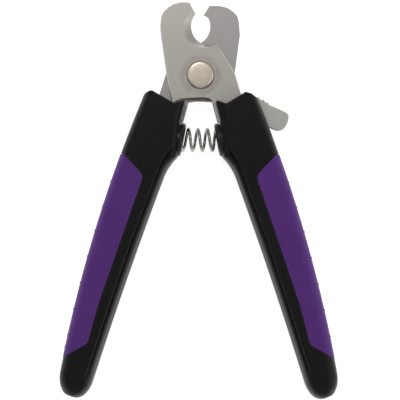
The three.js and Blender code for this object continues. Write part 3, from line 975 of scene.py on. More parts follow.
@dataclass(frozen=True)
class SeatForm:
    """The place of the spring's seat on the handle's inner edge, and the hollow behind it."""

    centre: tuple[float, float] = (-2.3, -28.25)
    tilt: float = 8.0  # degrees that the seat's axis leans down from x
    hollow_radius: float = 6.45
    hollow_back: float = 5.9

    def axes(self) -> tuple[np.ndarray, np.ndarray]:
        """The seat's axis and the direction across it, in the plane of the handle."""
        cosine, sine = math.cos(math.radians(self.tilt)), math.sin(math.radians(self.tilt))
        return np.array([cosine, -sine]), np.array([sine, cosine])


@dataclass(frozen=True)
class ScrewForm:
    """Thread-forming screws sunk in the rear shell."""

    places: tuple[tuple[float, float], ...] = ((11.0, 39.3), (5.7, 87.65), (7.4, 136.0))
    names: tuple[str, ...] = ("upper", "middle", "lower")
    head_radius: float = 2.1
    head_height: float = 1.5
    dome: float = 0.45
    cross_depth: float = 0.85
    shank_radius: float = 1.3
    well_radius: float = 2.4
    floor: float = -5.4


@dataclass
class Handle:
    """One handle: two shells, the soft grip, the spring's seat and three screws."""

    half: Half
    layout: Layout
    finishes: Finishes
    form: HandleForm = field(default_factory=HandleForm)
    screws: ScrewForm = field(default_factory=ScrewForm)
    seat_form: SeatForm = field(default_factory=SeatForm)
    heel_reach: float = 17.3
    rib_places: tuple[float, ...] = (54.5, 65.5, 76.2, 87.5, 98.8, 110, 121.2)
    rib_height: float = 0.3

    @property
    def corner(self) -> float:
        """Size of the cut outer corner at the top; the right one clears the lever."""
        return 3.2 if self.half is Half.RIGHT else 1.6

    def floor(self, x: np.ndarray, d: np.ndarray, face: Face) -> np.ndarray:
        """Height of the shell's underside: the seam, raised over the tang, the other heel and the lever.

        Args:
            x: distance out from the middle line.
            d: distance below the pivot.
            face: the shell's side.

        Returns:
            The height at each point.
        """
        own_tang = self.half.value * face.value == 1
        room = np.full(np.broadcast(x, d).shape, False)
        if own_tang:
            room |= (x < 14.1) & (d < 62.3) & ((d < 20.7) | (x > 4.5))
        else:
            room |= np.hypot(x, d) < self.heel_reach
        if self.half is Half.RIGHT and face is Face.REAR:
            room |= (x > 7.4) & (d < 36.9)
        return np.where(room, self.form.blade_room, self.form.split)

    def rows(self) -> np.ndarray:
        """Distances below the pivot of the rows: close at the rim, then even, then along the round end.

        The even rows are twice as close where the grip's ends slant.

        Returns:
            The distances, from the top down.
        """
        form = self.form
        rim = np.array([0, 0.04, 0.1, 0.18, 0.3, 0.45, 0.62, 0.85]) + form.top_level
        spans = ((13.5, 40.5, 0.5), (40.5, 50, 0.25), (50, 119, 0.5), (119, 133, 0.25), (133, 136.4, 0.5))
        body = np.concatenate([np.arange(*span) for span in spans])
        turn = np.linspace(0, np.pi / 2, 33)
        return np.concatenate([rim, body, form.end - form.end_round * (1 - np.sin(turn))])

    def below(self, x: np.ndarray, rows: np.ndarray) -> np.ndarray:
        """Distance below the pivot: the row's own, moved by the top's shape, which fades out downwards."""
        start, length = self.form.top_fade
        fade = 1 - smooth((rows - start) / length)
        return rows + (self.form.top(x, self.corner) - self.form.top_level) * fade

    def arc_points(self, d: np.ndarray, face: Face) -> tuple[np.ndarray, np.ndarray]:
        """x and z over each row, from the inner seam round the face to the outer seam.

        The columns are a wall, a quarter ellipse that grows tall along the rail, the face, a quarter circle
        and a wall. On the face they crowd round the grip's edge, so that its recess is crisp.

        Args:
            d: the rows' distances below the pivot, as one column.
            face: the shell's side.

        Returns:
            x and z, each of shape (rows, columns).
        """
        form = self.form
        low, high, half = form.section(d)
        most = (high - low) / 2 - 0.4
        wide_in = np.minimum(np.minimum(form.inner_round, half - 0.4), most)
        tall_in = form.inner_round + (form.rail_height - form.inner_round) * smooth((d - 35) / 8)
        tall_in = np.minimum(tall_in, half - 0.6)
        r_out = np.minimum(np.minimum(form.outer_round, half - 0.4), most)
        z_in, z_out = self.floor(low, d, face), self.floor(high, d, face)
        wall = np.concatenate([[0, 0.05, 0.12, 0.25], np.linspace(0.4, 1, 6)])[None, :]
        quarter = np.linspace(0, np.pi / 2, 24)[None, 1:]
        start, stop = low + wide_in, high - r_out
        wide = stop - start
        edge = form.grip_edge(np.clip(d, 52, 120.5))
        knots = [
            start,
            np.clip(edge - 0.8, start + wide * 0.15, start + wide * 0.6),
            np.clip(edge + 0.8, start + wide * 0.3, stop - wide * 0.12),
            stop,
        ]
        spans = [np.linspace(0, 1, n + 1)[None, 1:] for n in (16, 8, 28)]
        face_x = np.concatenate([a + (b - a) * t for a, b, t in zip(knots, knots[1:], spans)], axis=1)
        back = wall[:, ::-1][:, 1:]
        x = [
            low + 0 * wall,
            low + wide_in * (1 - np.cos(quarter)),
            face_x,
            stop + r_out * np.sin(quarter),
            high + 0 * back,
        ]
        z = [
            z_in + (half - tall_in - z_in) * wall,
            half - tall_in * (1 - np.sin(quarter)),
            half + 0 * face_x,
            half - r_out * (1 - np.cos(quarter)),
            (half - r_out) + (z_out - half + r_out) * (1 - back),
        ]
        x, z = np.concatenate(x, axis=1), np.concatenate(z, axis=1)
        return x, form.crowned(x, z, low, high)

    def relief(
        self, x: np.ndarray, d: np.ndarray, z: np.ndarray, face: Face
    ) -> tuple[np.ndarray, np.ndarray]:
        """How far the skin sinks, and how much it is painted lighter, for rubbing and as a painted rim
        highlight.

        Both rims are rounded. The groove is a bell curve across its line, the rail inside it lies lower, and
        the grip's recess is an eased step that starts under the grip's rim.

        Args:
            x: distance out from the middle line.
            d: distance below the pivot.
            z: height.
            face: the shell's side.

        Returns:
            The depth and the edge value at each point.
        """
        form = self.form
        rim = d - form.top(x, self.corner)
        groove = form.groove_at(d)
        come, full, leave, gone = form.groove_span
        lit = smooth((d - come) / (full - come)) * (1 - smooth((d - leave) / (gone - leave))) * (z > 1.2)
        sink = fillet(rim, form.rim_round)
        sink += fillet(z - self.floor(x, d, face), form.seam_round)
        sink += lit * form.groove_depth * np.exp(-(((x - groove) / form.groove_width) ** 2))
        sink += lit * form.rail_drop * (1 - smooth((x - groove + 0.3) / 0.6)) * smooth((z - 2) / 2)
        inside = form.grip_inside(x, d)
        in_grip = (d > form.grip_ends[0] - 1) & (d < form.grip_ends[1] + 1.5)
        sink += np.where(in_grip, form.recess * smooth((inside - 0.22) / 0.3), 0)
        lip = np.where(in_grip, np.exp(-(((inside + 0.15) / 0.3) ** 2)), 0)
        # edge value: the top rim and the grip's lip are painted lighter, for rubbing and as a painted rim
        # highlight
        edge = np.exp(-((rim / 0.5) ** 2)) + 0.35 * lip
        # a light line on the rail beside the groove: painted highlight, partly rubbing
        edge += 0.2 * lit * np.exp(-(((x - groove - 0.9) / 0.35) ** 2))
        return sink, np.clip(edge, 0, 1)

    def shell(self, face: Face) -> None:
        """One shell: the outer skin with its relief, wells and hollow, closed underneath and at both ends.

        Args:
            face: the shell's side.
        """
        form = self.form
        rows = self.rows()[:, None]
        x, z = self.arc_points(rows, face)
        d = self.below(x, rows)
        low, high, _ = form.section(rows)
        share = (x - low) / (high - low)
        low, high, _ = form.section(d)
        x = low + share * (high - low)
        points = np.stack([x, -d, z], -1)
        sink, edge = self.relief(x, d, z, face)
        points = points - outward_normals(points, (low + high) / 2) * sink[..., None]
        if face is Face.REAR:
            points = self.wells(points)
        skin = np.concatenate([self.seat_hollow(points), edge[..., None]], -1)
        under = self.underside(skin, rows, face)
        parts = MeshParts()
        parts.grid(skin)
        parts.grid(under)
        t = np.linspace(0, 1, 5)[:, None, None]
        top, bottom = (skin[row] * (1 - t) + under[row] * t for row in (0, -1))
        top[1:-1, :, 1] = -form.top(top[1:-1, :, 0], self.corner)
        parts.grid(top)
        parts.grid(bottom)
        parts.points = [p * np.array([1, 1, face.value, 1]) for p in parts.points]
        self.send(parts, f"{face.word}_shell", self.finishes.black, "black_plastic", 40)

    def underside(self, skin: np.ndarray, rows: np.ndarray, face: Face) -> np.ndarray:
        """The hidden floor: straight across from seam to seam, at the height that floor() gives.

        Args:
            skin: the outer skin, whose first and last columns are the seams.
            rows: the rows' distances below the pivot.
            face: the shell's side.

        Returns:
            A grid of the same shape as the skin.
        """
        t = np.linspace(0, 1, skin.shape[1])[None, :]
        x = skin[:, :1, 0] * (1 - t) + skin[:, -1:, 0] * t
        d = self.below(x, rows)
        under = np.stack([x, -d, self.floor(x, d, face), 0 * x], -1)
        under[:, 0], under[:, -1] = skin[:, 0], skin[:, -1]
        return under

    def wells(self, points: np.ndarray) -> np.ndarray:
        """Round wells for the screw heads.

        Points near a well's rim slide along their ray onto it, and those inside drop below the head.

        Args:
            points: (rows, columns, 3) skin.

        Returns:
            The skin with its wells.
        """
        made = points.copy()
        radius = self.screws.well_radius
        snap, inner_gap, outer_gap, under_head = 0.55, 0.03, 0.12, 0.3
        for x, d in self.screws.places:
            centre = np.array([x, -d])
            away = made[..., :2] - centre
            gone = np.linalg.norm(away, axis=-1)
            near = (np.abs(gone - radius) < snap) & (made[..., 2] > 5)
            target = np.where(gone < radius, radius - inner_gap, radius + outer_gap)
            scale = np.where(near, target / np.maximum(gone, 1e-6), 1.0)
            made[..., :2] = centre + away * scale[..., None]
            drop = (gone < radius) & (made[..., 2] > 3)
            made[..., 2] = np.where(drop, -self.screws.floor - under_head, made[..., 2])
        return made

    def seat_hollow(self, points: np.ndarray) -> np.ndarray:
        """Room behind the seat: points of the inner wall within the cup are pushed out past its back.

        Points near the hollow's circle first slide onto it, just inside or just outside.

        Args:
            points: (rows, columns, 3) skin.

        Returns:
            The skin with its hollow.
        """
        form = self.seat_form
        radius, back = form.hollow_radius, form.hollow_back
        snap, inner_gap, outer_gap = 0.3, 0.02, 0.06
        axis, across = form.axes()
        made = points.copy()
        off = made[..., :2] - np.array(form.centre)
        along, aside = off @ axis, off @ across
        gone = np.hypot(aside, made[..., 2])
        near = (np.abs(gone - radius) < snap) & (along < back)
        target = np.where(gone < radius, radius - inner_gap, radius + outer_gap)
        scale = np.where(near, target / np.maximum(gone, 1e-6), 1.0)
        made[..., :2] += (aside * (scale - 1))[..., None] * across
        made[..., 2] *= scale
        push = (gone < radius) & (along < back)
        made[..., 0] += np.where(push, (back - along) / axis[0], 0)
        return made

    def send(
        self, parts: MeshParts, name: str, material: bpy.types.Material, slot: str, sharp: float = 32
    ) -> None:
        """Delivers a piece of this half.

        Args:
            parts: the gathered surfaces.
            name: the piece's name after the half's.
            material: the finish.
            slot: the record's material slot; not used.
            sharp: angle in degrees past which an edge is shaded sharp.
        """
        full_name = f"{self.half.word}_{name}"
        deliver(parts, full_name, self.layout.place(self.half), material, self.half.body, sharp)

    def grip(self) -> None:
        """The soft grip: a skin carried from its front edge round the outside to its rear edge, with ribs.

        Each row runs along the section's own length: wall, quarter circle, then face, in front and behind.
        """
        form = self.form
        ribs = np.array([*self.rib_places, *([126.4] if self.half is Half.LEFT else [])])
        start, stop = form.grip_ends[0] + 0.35, form.grip_ends[1] - 0.25
        even = np.arange(start + 0.6, stop - 0.6, 0.6)
        close = (ribs[:, None] + np.linspace(-0.8, 0.8, 9)).ravel()
        ends = np.array([0, 0.06, 0.15, 0.28, 0.42])
        d = np.unique(np.round(np.concatenate([start + ends, even, close, stop - ends]), 3))[:, None]
        low, high, half = form.section(d)
        radius = form.outer_round
        wall = half - radius
        bound = form.grip_edge(d)
        on_arc = radius * np.arccos(np.clip((bound - high + radius) / radius, 0, 1))
        past_arc = radius * np.pi / 2 + high - radius - bound
        length = wall + np.where(bound < high - radius, past_arc, on_arc) - 0.3
        u = np.linspace(-1, 1, 121)
        u = np.sign(u) * (1 - (1 - np.abs(u)) ** 1.25)  # columns crowd at the rims
        run = np.abs(u)[None, :] * length
        turn = np.clip((run - wall) / radius, 0, np.pi / 2)
        on_face = np.maximum(run - wall - radius * np.pi / 2, 0)
        x = high - radius + radius * np.cos(turn) - on_face
        z = np.minimum(run, wall) + radius * np.sin(turn)
        z = form.crowned(x, z, low, high) * np.sign(u)[None, :]
        points = np.stack([x, -d + 0 * x, z], -1)
        normal = outward_normals(points, (low + high) / 2)
        depth = np.minimum(length - run, np.minimum(d - d[0], d[-1] - d))
        crest = np.exp(-(((d - ribs[None, :]) / 0.33) ** 2)).sum(1, keepdims=True)
        rib = self.rib_height * crest * smooth((normal[..., 0] - 0.55) / 0.35)
        lift = 0.12 + rib - fillet(depth, 0.45)
        # rims and rib crests painted lighter, for rubbing and as a painted highlight
        edge = np.clip(np.exp(-((depth / 0.4) ** 2)) + 2.2 * rib, 0, 1)[..., None]
        outer = np.concatenate([points + normal * lift[..., None], edge], -1)
        inner = np.concatenate([points - normal * form.skin, 0 * edge], -1)
        parts = MeshParts()
        parts.grid(outer)
        parts.grid(inner)
        for rim in (np.s_[0], np.s_[-1], np.s_[:, 0], np.s_[:, -1]):
            parts.grid(np.stack([outer[rim], inner[rim]]))
        self.send(parts, "grip", self.finishes.purple, "purple_grip", 50)

    def seat(self) -> None:
        """The spring's cup: a turned profile with a rounded lip, laid along the seat's tilted axis."""
        corners = [
            (0, 4.5, 0), (5.7, 4.5, 0.4), (5.7, 0, 0.3), (6.5, 0, 0.35), (7.15, 0.7, 0.5),
            (7.15, 1.9, 0.25), (6.5, 1.9, 0.15), (6.5, 5.7, 0.4), (0, 5.7, 0),
        ]  # fmt: skip
        ring = spun(rounded_profile(corners), 72)
        axis, across = self.seat_form.axes()
        flat = np.array(self.seat_form.centre) + ring[..., 2:3] * axis + ring[..., 0:1] * across
        parts = MeshParts()
        parts.grid(np.concatenate([flat, ring[..., 1:2], ring[..., 3:]], -1))
        self.send(parts, "spring_seat", self.finishes.seat_black, "black_plastic")

    def fasteners(self) -> None:
        """Three screws: low domed heads with a cross recess over plain shanks.

        The dome falls with the 2.5th power of the radius. The cross is cut where the smaller of |x| and |y|
        is under 0.3 mm and the larger under 1.1 mm, both with eased walls.
        """
        form = self.screws
        r = np.concatenate([np.linspace(0, 1.5, 13), np.linspace(1.6, form.head_radius, 6)])[:, None]
        angle = np.linspace(0, 2 * np.pi, 97)[None, :]
        x, y = r * np.cos(angle), r * np.sin(angle)
        arm, reach = np.minimum(np.abs(x), np.abs(y)), np.maximum(np.abs(x), np.abs(y))
        cross = form.cross_depth * (1 - smooth((arm - 0.22) / 0.16)) * (1 - smooth((reach - 0.95) / 0.25))
        top = form.head_height - form.dome * (r / form.head_radius) ** 2.5
        edge = np.clip(smooth((r - 1.7) / 0.4) + 0.6 * (cross > 0.1) * (cross < 0.6), 0, 1)
        head = np.stack([x, y, top - cross, edge], -1)
        neck, tip = form.shank_radius, -9.4
        corners = [
            (form.head_radius, form.head_height - form.dome, 0), (form.head_radius, 0, 0.1), (neck, 0, 0),
            (neck, tip + 1, 0), (neck - 0.6, tip, 0), (0, tip, 0),
        ]  # fmt: skip
        body = spun(rounded_profile(corners, 3), 96)
        for (across, down), where in zip(form.places, form.names):
            parts = MeshParts()
            for grid in (head, body):
                parts.grid(grid * np.array([1, 1, -1, 1]) + np.array([across, -down, form.floor, 0]))
            self.send(parts, f"{where}_screw", self.finishes.zinc, "zinc_plate")

    def build(self) -> None:
        """Makes every piece of the handle."""
        for face in Face:
            self.shell(face)
        self.grip()
        self.seat()
        self.fasteners()


# ---------------------------------------------------------------- blades and lever


@dataclass(frozen=True)
class PlateForm:
    """A flat plate from one outline: how thick, where, and how its edges are broken."""

    near: float  # height of the face at the blades' meeting plane
    far: float  # height of the outer face
    chamfer: float = 0.3
    near_chamfer: float = 0.06
    rim: float = 0.35  # width of the border on the outer face in which the rubbing and the painted rim highlight fade

    def rings(self, outline: np.ndarray, shift: np.ndarray, ground: np.ndarray) -> np.ndarray:
        """The plate's side as rings from its near face to its far face, and one more within the far face.

        An upright side goes up and is chamfered over its last part. A ground side climbs with the 1.12th
        power of the distance from the cutting edge, over a land 0.1 mm high.

        Args:
            outline: (n, 2) counter-clockwise points.
            shift: (n, 2) displacement of each point on the far face.
            ground: n numbers, 1 where the side is one hollow-ground slope and 0 where it stands upright.

        Returns:
            Array of shape (rings, n, 4).
        """
        thick, land = abs(self.far - self.near), 0.1
        q = np.array([0, 0.06, 0.2, 0.4, 0.6, 0.8, 1.0])[:, None]
        upright_z = np.array([0, self.near_chamfer, 0.5, 0.9, 1.3, thick - self.chamfer, thick])[:, None]
        upright_s = (q == 1.0).astype(float)
        slope_z = land + (thick - land) * q**1.12
        slope_z[0] = 0
        slope_s = np.clip((q - 0.03) / 0.97, 0, 1)
        g = ground[None, :]
        z = (upright_z * (1 - g) + slope_z * g) * np.sign(self.far - self.near) + self.near
        s = (upright_s * (1 - g) + slope_s * g)[..., None]
        flat = outline[None] + shift[None] * s
        flat[0] = outline + inward(outline) * self.near_chamfer * (1 - ground)[:, None]
        # edge values: the chamfers and the ground land are painted lighter, for rubbing and as a painted rim
        # highlight
        mark = np.zeros_like(z)
        mark[-1] = 0.9
        mark[-2] = 0.5 * (1 - ground)
        mark[1] = 0.8 * ground
        rings = np.concatenate([flat, z[..., None], mark[..., None]], -1)
        within = rings[-1:].copy()
        within[0, :, :2] += inward(rings[-1, :, :2]) * self.rim
        within[..., 3] = 0
        return np.concatenate([rings, within])

    def bored(
        self, outline: np.ndarray, shift: np.ndarray, ground: np.ndarray, hole: np.ndarray
    ) -> MeshParts:
        """The whole plate: its ringed side, both faces filled round a hole, and the hole's wall.

        Args:
            outline: (n, 2) counter-clockwise points.
            shift: (n, 2) displacement of each point on the far face.
            ground: n numbers, 1 where the side is ground.
            hole: (m, 2) points of the hole's edge.

        Returns:
            The closed surface.
        """
        rings = self.rings(outline, shift, ground)
        parts = MeshParts()
        parts.grid(np.concatenate([rings, rings[:, :1]], axis=1))
        wall = []
        for ring in (rings[0], rings[-1]):
            level = np.full((len(hole), 1), ring[0, 2])
            loop = np.hstack([hole, level, 0 * level])
            parts.fill([ring, loop])
            wall.append(np.vstack([loop, loop[:1]]))
        parts.grid(np.stack(wall))
        return parts


@dataclass
class Blade:
    """One blade: a jaw with a hollow-ground notch, a broad pivot plate with a heel, and a tang."""

    half: Half
    layout: Layout
    material: bpy.types.Material
    reach: float  # height of the jaw's top above the pivot
    jaw_width: float
    crotch: float  # how much deeper the plate reaches between the tangs
    name: str
    beak: float = 0.0  # how far the tip hooks in over the notch, about millimetres
    notch: tuple[float, float, float] = (10.33, 18.18, 7.85)  # centre and radius of the cutting edge
    shoulder: tuple[float, float] = (10.71, 10.12)  # where the notch ends
    shoulder_radius: float = 8.07
    bore: float = 3.2
    chamfer: float = 0.3

    @property
    def tip(self) -> np.ndarray:
        """The jaw's tip, which slides down and in along 45 degrees as it hooks."""
        return np.array([6.34 + 0.83 * self.beak, 25.05 - 0.82 * self.beak])

    def edge_of_notch(self) -> tuple[np.ndarray, np.ndarray, np.ndarray]:
        """The cutting edge, as a polar curve about the notch's centre, from its shoulder round to the tip.

        Its radius is constant but for an eased run to the shoulder's and to the tip's own distances.

        Returns:
            Points, their shift on the far face, which makes the ground band, and how far each is ground.
        """
        cx, cy, radius = self.notch
        first = math.degrees(math.atan2(self.shoulder[1] - cy, self.shoulder[0] - cx)) % 360
        last = math.degrees(math.atan2(self.tip[1] - cy, self.tip[0] - cx))
        angle = np.linspace(first, last, 90)
        tip_away = np.linalg.norm(self.tip - np.array([cx, cy]))
        hook = 8 + 10 * self.beak
        knots = [last, last + hook, first - 10, first]
        away = np.interp(angle, knots, [tip_away, radius, radius, self.shoulder_radius])
        ray = np.stack([np.cos(np.radians(angle)), np.sin(np.radians(angle))], 1)
        band_knots = [last, 148, 169, 187, 206, 230, 249, first]
        band = np.interp(angle, band_knots, [1.7, 2.75, 3.1, 3.5, 3.1, 1.75, 0.85, 0.24])
        arc = np.array([cx, cy]) + ray * away[:, None]
        return arc, ray * band[:, None], smooth((first - angle) / 14)

    def outline(self) -> tuple[np.ndarray, np.ndarray, np.ndarray]:
        """Outline from the jaw's tip over the jaw, down to the heel, round the tang and back along the notch.

        Returns:
            Points, their shift on the far face, and how far each belongs to the ground notch.
        """
        reach, jaw, crotch, tip = self.reach, self.jaw_width, self.crotch, self.tip
        heel_x, heel_y = 17 * math.cos(math.radians(-152.6)), 17 * math.sin(math.radians(-152.6))
        jaw_line = [
            (5.5 + 0.6 * self.beak, reach - 1.55), (4.0, reach - 0.85), (1.7, reach - 0.16), (-1.8, reach),
            (-5.7, reach - 1.35), (2.66 - jaw, reach - 3.3), (1.02 - jaw, reach - 6.7), (-jaw, 21.48),
        ]  # fmt: skip
        crotch_line = [
            (heel_x + 0.7, heel_y), (-13.2, -7.3), (-10.2, -7.1 - crotch * 0.8),
            (-3.2, -8.8 - crotch), (-0.1, -10.2 - crotch), (1.0, -11.8 - crotch / 2),
        ]  # fmt: skip
        tang = [
            (1.0, -11.8 - crotch / 2), (0.8, -13.8), (0.35, -21.1), (0.62, -21.15), (0.72, -22.0),
            (2.2, -22.2), (4.85, -21.4), (4.85, -60.5), (6.35, -62), (11.1, -62), (12.6, -60.5),
            (13.7, -11.9), (14, -3.6),
        ]  # fmt: skip
        back = [(-jaw, 21.48), (-13.44, 5.2), (heel_x, heel_y + 0.5)]
        plain = np.vstack([curve_through(jaw_line, 6), back, curve_through(crotch_line, 5), tang])
        arc, ground_shift, ground_arc = self.edge_of_notch()
        lead = np.linspace(0, 1, 9)[1:, None]
        tip_edge = tip + (np.array(jaw_line[0]) - tip) * lead
        rest = divided(np.vstack([tip_edge[-1:], plain[1:], arc[:1]]), 1.2)
        rest = rest[: np.argmin(np.linalg.norm(rest - arc[0], axis=1))]
        outline = np.vstack([arc, tip_edge[:-1], rest])
        last_ground = np.clip(1 - lead[:-1, 0] / 0.55, 0, 1)  # the ground band runs out past the tip
        count, past = len(arc), len(arc) + len(last_ground)
        ground = np.zeros(len(outline))
        ground[:count], ground[count:past] = ground_arc, last_ground
        band = np.zeros_like(outline)
        band[:count] = ground_shift
        band[count:past] = ground_shift[-1]
        part = ground[:, None]
        return outline, band * part + inward(outline) * self.chamfer * (1 - part), ground

    def build(self) -> None:
        """Makes the blade on its own side of the meeting plane."""
        side = self.half.value
        form = PlateForm(near=0.15 * side, far=2.15 * side, chamfer=self.chamfer)
        parts = form.bored(*self.outline(), circle((0, 0), self.bore, 64))
        place = self.layout.place(self.half)
        deliver(parts, self.name, place, self.material, self.half.body, 24)


@dataclass
class LockLever:
    """The lock lever: a nose inside the handle, a hub round its pin and a thumb tab with three serrations."""

    layout: Layout
    material: bpy.types.Material
    pin: tuple[float, float] = (16.0, -18.5)
    hole: float = 1.5

    def build(self) -> None:
        """Makes the lever with chamfers on both faces and a bore for its pin."""
        corners = [(8, -15.1), (8, -17.1), (10, -17.6), (13, -19.8), (14.2, -22.5), (17.5, -27.4)]
        tab = [
            (20.4, -30.1), (22.3, -31.9), (24.3, -32.8), (26.3, -32.5), (28.3, -30.9), (29.5, -29),
            (29.8, -27.5), (29.2, -26.2), (27.9, -24.9),
        ]  # fmt: skip
        teeth = [
            (27.9, -24.9), (23.9, -21.3), (23.5, -20.9), (23.55, -20.4), (23.4, -19.7), (22.75, -19.75),
            (22.3, -19.4), (22.25, -18.6), (22, -17.9), (21.4, -18.1), (20.9, -18), (20.75, -17.2),
            (20.4, -16.5), (19.4, -16.5), (18.6, -16.3), (16, -15.5), (12.6, -16), (10.2, -15.1),
        ]  # fmt: skip
        outline = divided(np.vstack([corners, curve_through(tab, 6), teeth]), 0.9)
        form = PlateForm(near=-0.15, far=-2.15, chamfer=0.3, near_chamfer=0.3)
        shift, hole = inward(outline) * form.chamfer, circle(self.pin, self.hole, 40)
        parts = form.bored(outline, shift, np.zeros(len(outline)), hole)
        place = self.layout.place(Half.RIGHT)
        deliver(parts, "lock_lever", place, self.material, "lock_lever", 28)


# ---------------------------------------------------------------- pivot and spring


@dataclass
class PivotJoint:
    """The bolt with its low round head, and the washer and nut behind."""

    layout: Layout
    finishes: Finishes
    head_radius: float = 5.45
    nut_radius: float = 4.9
    nut_bore: float = 3.2
    nut_top: float = -3.35
    nut_bottom: float = -5.35

    def send(
        self, points: np.ndarray, name: str, material: bpy.types.Material, slot: str, sharp: float
    ) -> None:
        """Delivers a closed grid of this joint, which rides on the left half.

        Args:
            points: the grid.
            name: name of the CAD node.
            material: the finish.
            slot: the record's material slot; not used.
            sharp: angle in degrees past which an edge is shaded sharp.
        """
        parts = MeshParts()
        parts.grid(points)
        deliver(parts, name, self.layout.straight, material, "left_half", sharp)

    def bolt(self) -> None:
        """A turned bolt: the head is slightly domed, with a rounded rim over an undercut neck."""
        corners = [
            (0, -5.65, 0), (2.5, -5.65, 0), (2.9, -5.25, 0.1), (2.9, 2.0, 0), (3.6, 2.18, 0), (4.95, 2.18, 0),
            (4.95, 2.5, 0.05), (5.3, 2.5, 0.12), (self.head_radius, 2.75, 0.12),
            (self.head_radius, 3.62, 0.3), (4.95, 3.84, 0.3), (3.4, 3.91, 0.4), (1.7, 3.94, 0), (0, 3.95, 0),
        ]  # fmt: skip
        points = spun(rounded_profile(corners, 6), 96)
        self.send(points, "pivot_bolt", self.finishes.bright, "pivot_steel", 28)

    def washer(self) -> None:
        """A flat ring with softened rims."""
        corners = [
            (3.2, -2.75, 0), (3.2, -2.45, 0.1), (5, -2.45, 0.15), (5, -3.05, 0.15), (3.2, -3.05, 0.1),
            (3.2, -2.75, 0),
        ]  # fmt: skip
        points = spun(rounded_profile(corners), 72)
        self.send(points, "pivot_washer", self.finishes.zinc, "zinc_plate", 32)

    def nut(self) -> None:
        """A six-sided nut: its radius is the flat's distance over the cosine of the angle from its middle.

        Towards the corners both faces fall away as a 30 degree cone, which leaves the arcs of a real nut.
        The bore is countersunk 0.25 mm at both ends.
        """
        angle = np.linspace(0, 2 * np.pi, 97)[None, :]
        flat = self.nut_radius * math.cos(math.pi / 6)
        to_side = flat / np.cos((angle + math.pi / 6) % (math.pi / 3) - math.pi / 6)
        sink = 0.25
        mouth = self.nut_bore + sink
        r = mouth + (to_side - mouth) * np.linspace(0, 1, 10)[:, None]
        fall = 0.55 * np.maximum(r - flat + 0.25, 0)
        bore, none = self.nut_bore + 0 * angle, 0 * angle
        start, stop = none + self.nut_top - sink, none + self.nut_bottom + sink
        radii = np.concatenate([bore, r, r[::-1], bore, bore])
        faces = [self.nut_top - fall, (self.nut_bottom + fall)[::-1]]
        heights = np.concatenate([start, *faces, stop, start])
        # corners painted lighter, for rubbing and as a painted rim highlight
        rubbed_and_highlit = smooth((r - 4) / 0.6)
        edge = np.concatenate([none, rubbed_and_highlit, rubbed_and_highlit[::-1], none, none])
        points = np.stack([radii * np.cos(angle), radii * np.sin(angle), heights, edge], -1)
        points[:, -1] = points[:, 0]
        self.send(points, "pivot_nut", self.finishes.bright, "pivot_steel", 32)

    def build(self) -> None:
        """Makes the three pieces."""
        self.bolt()
        self.washer()
        self.nut()


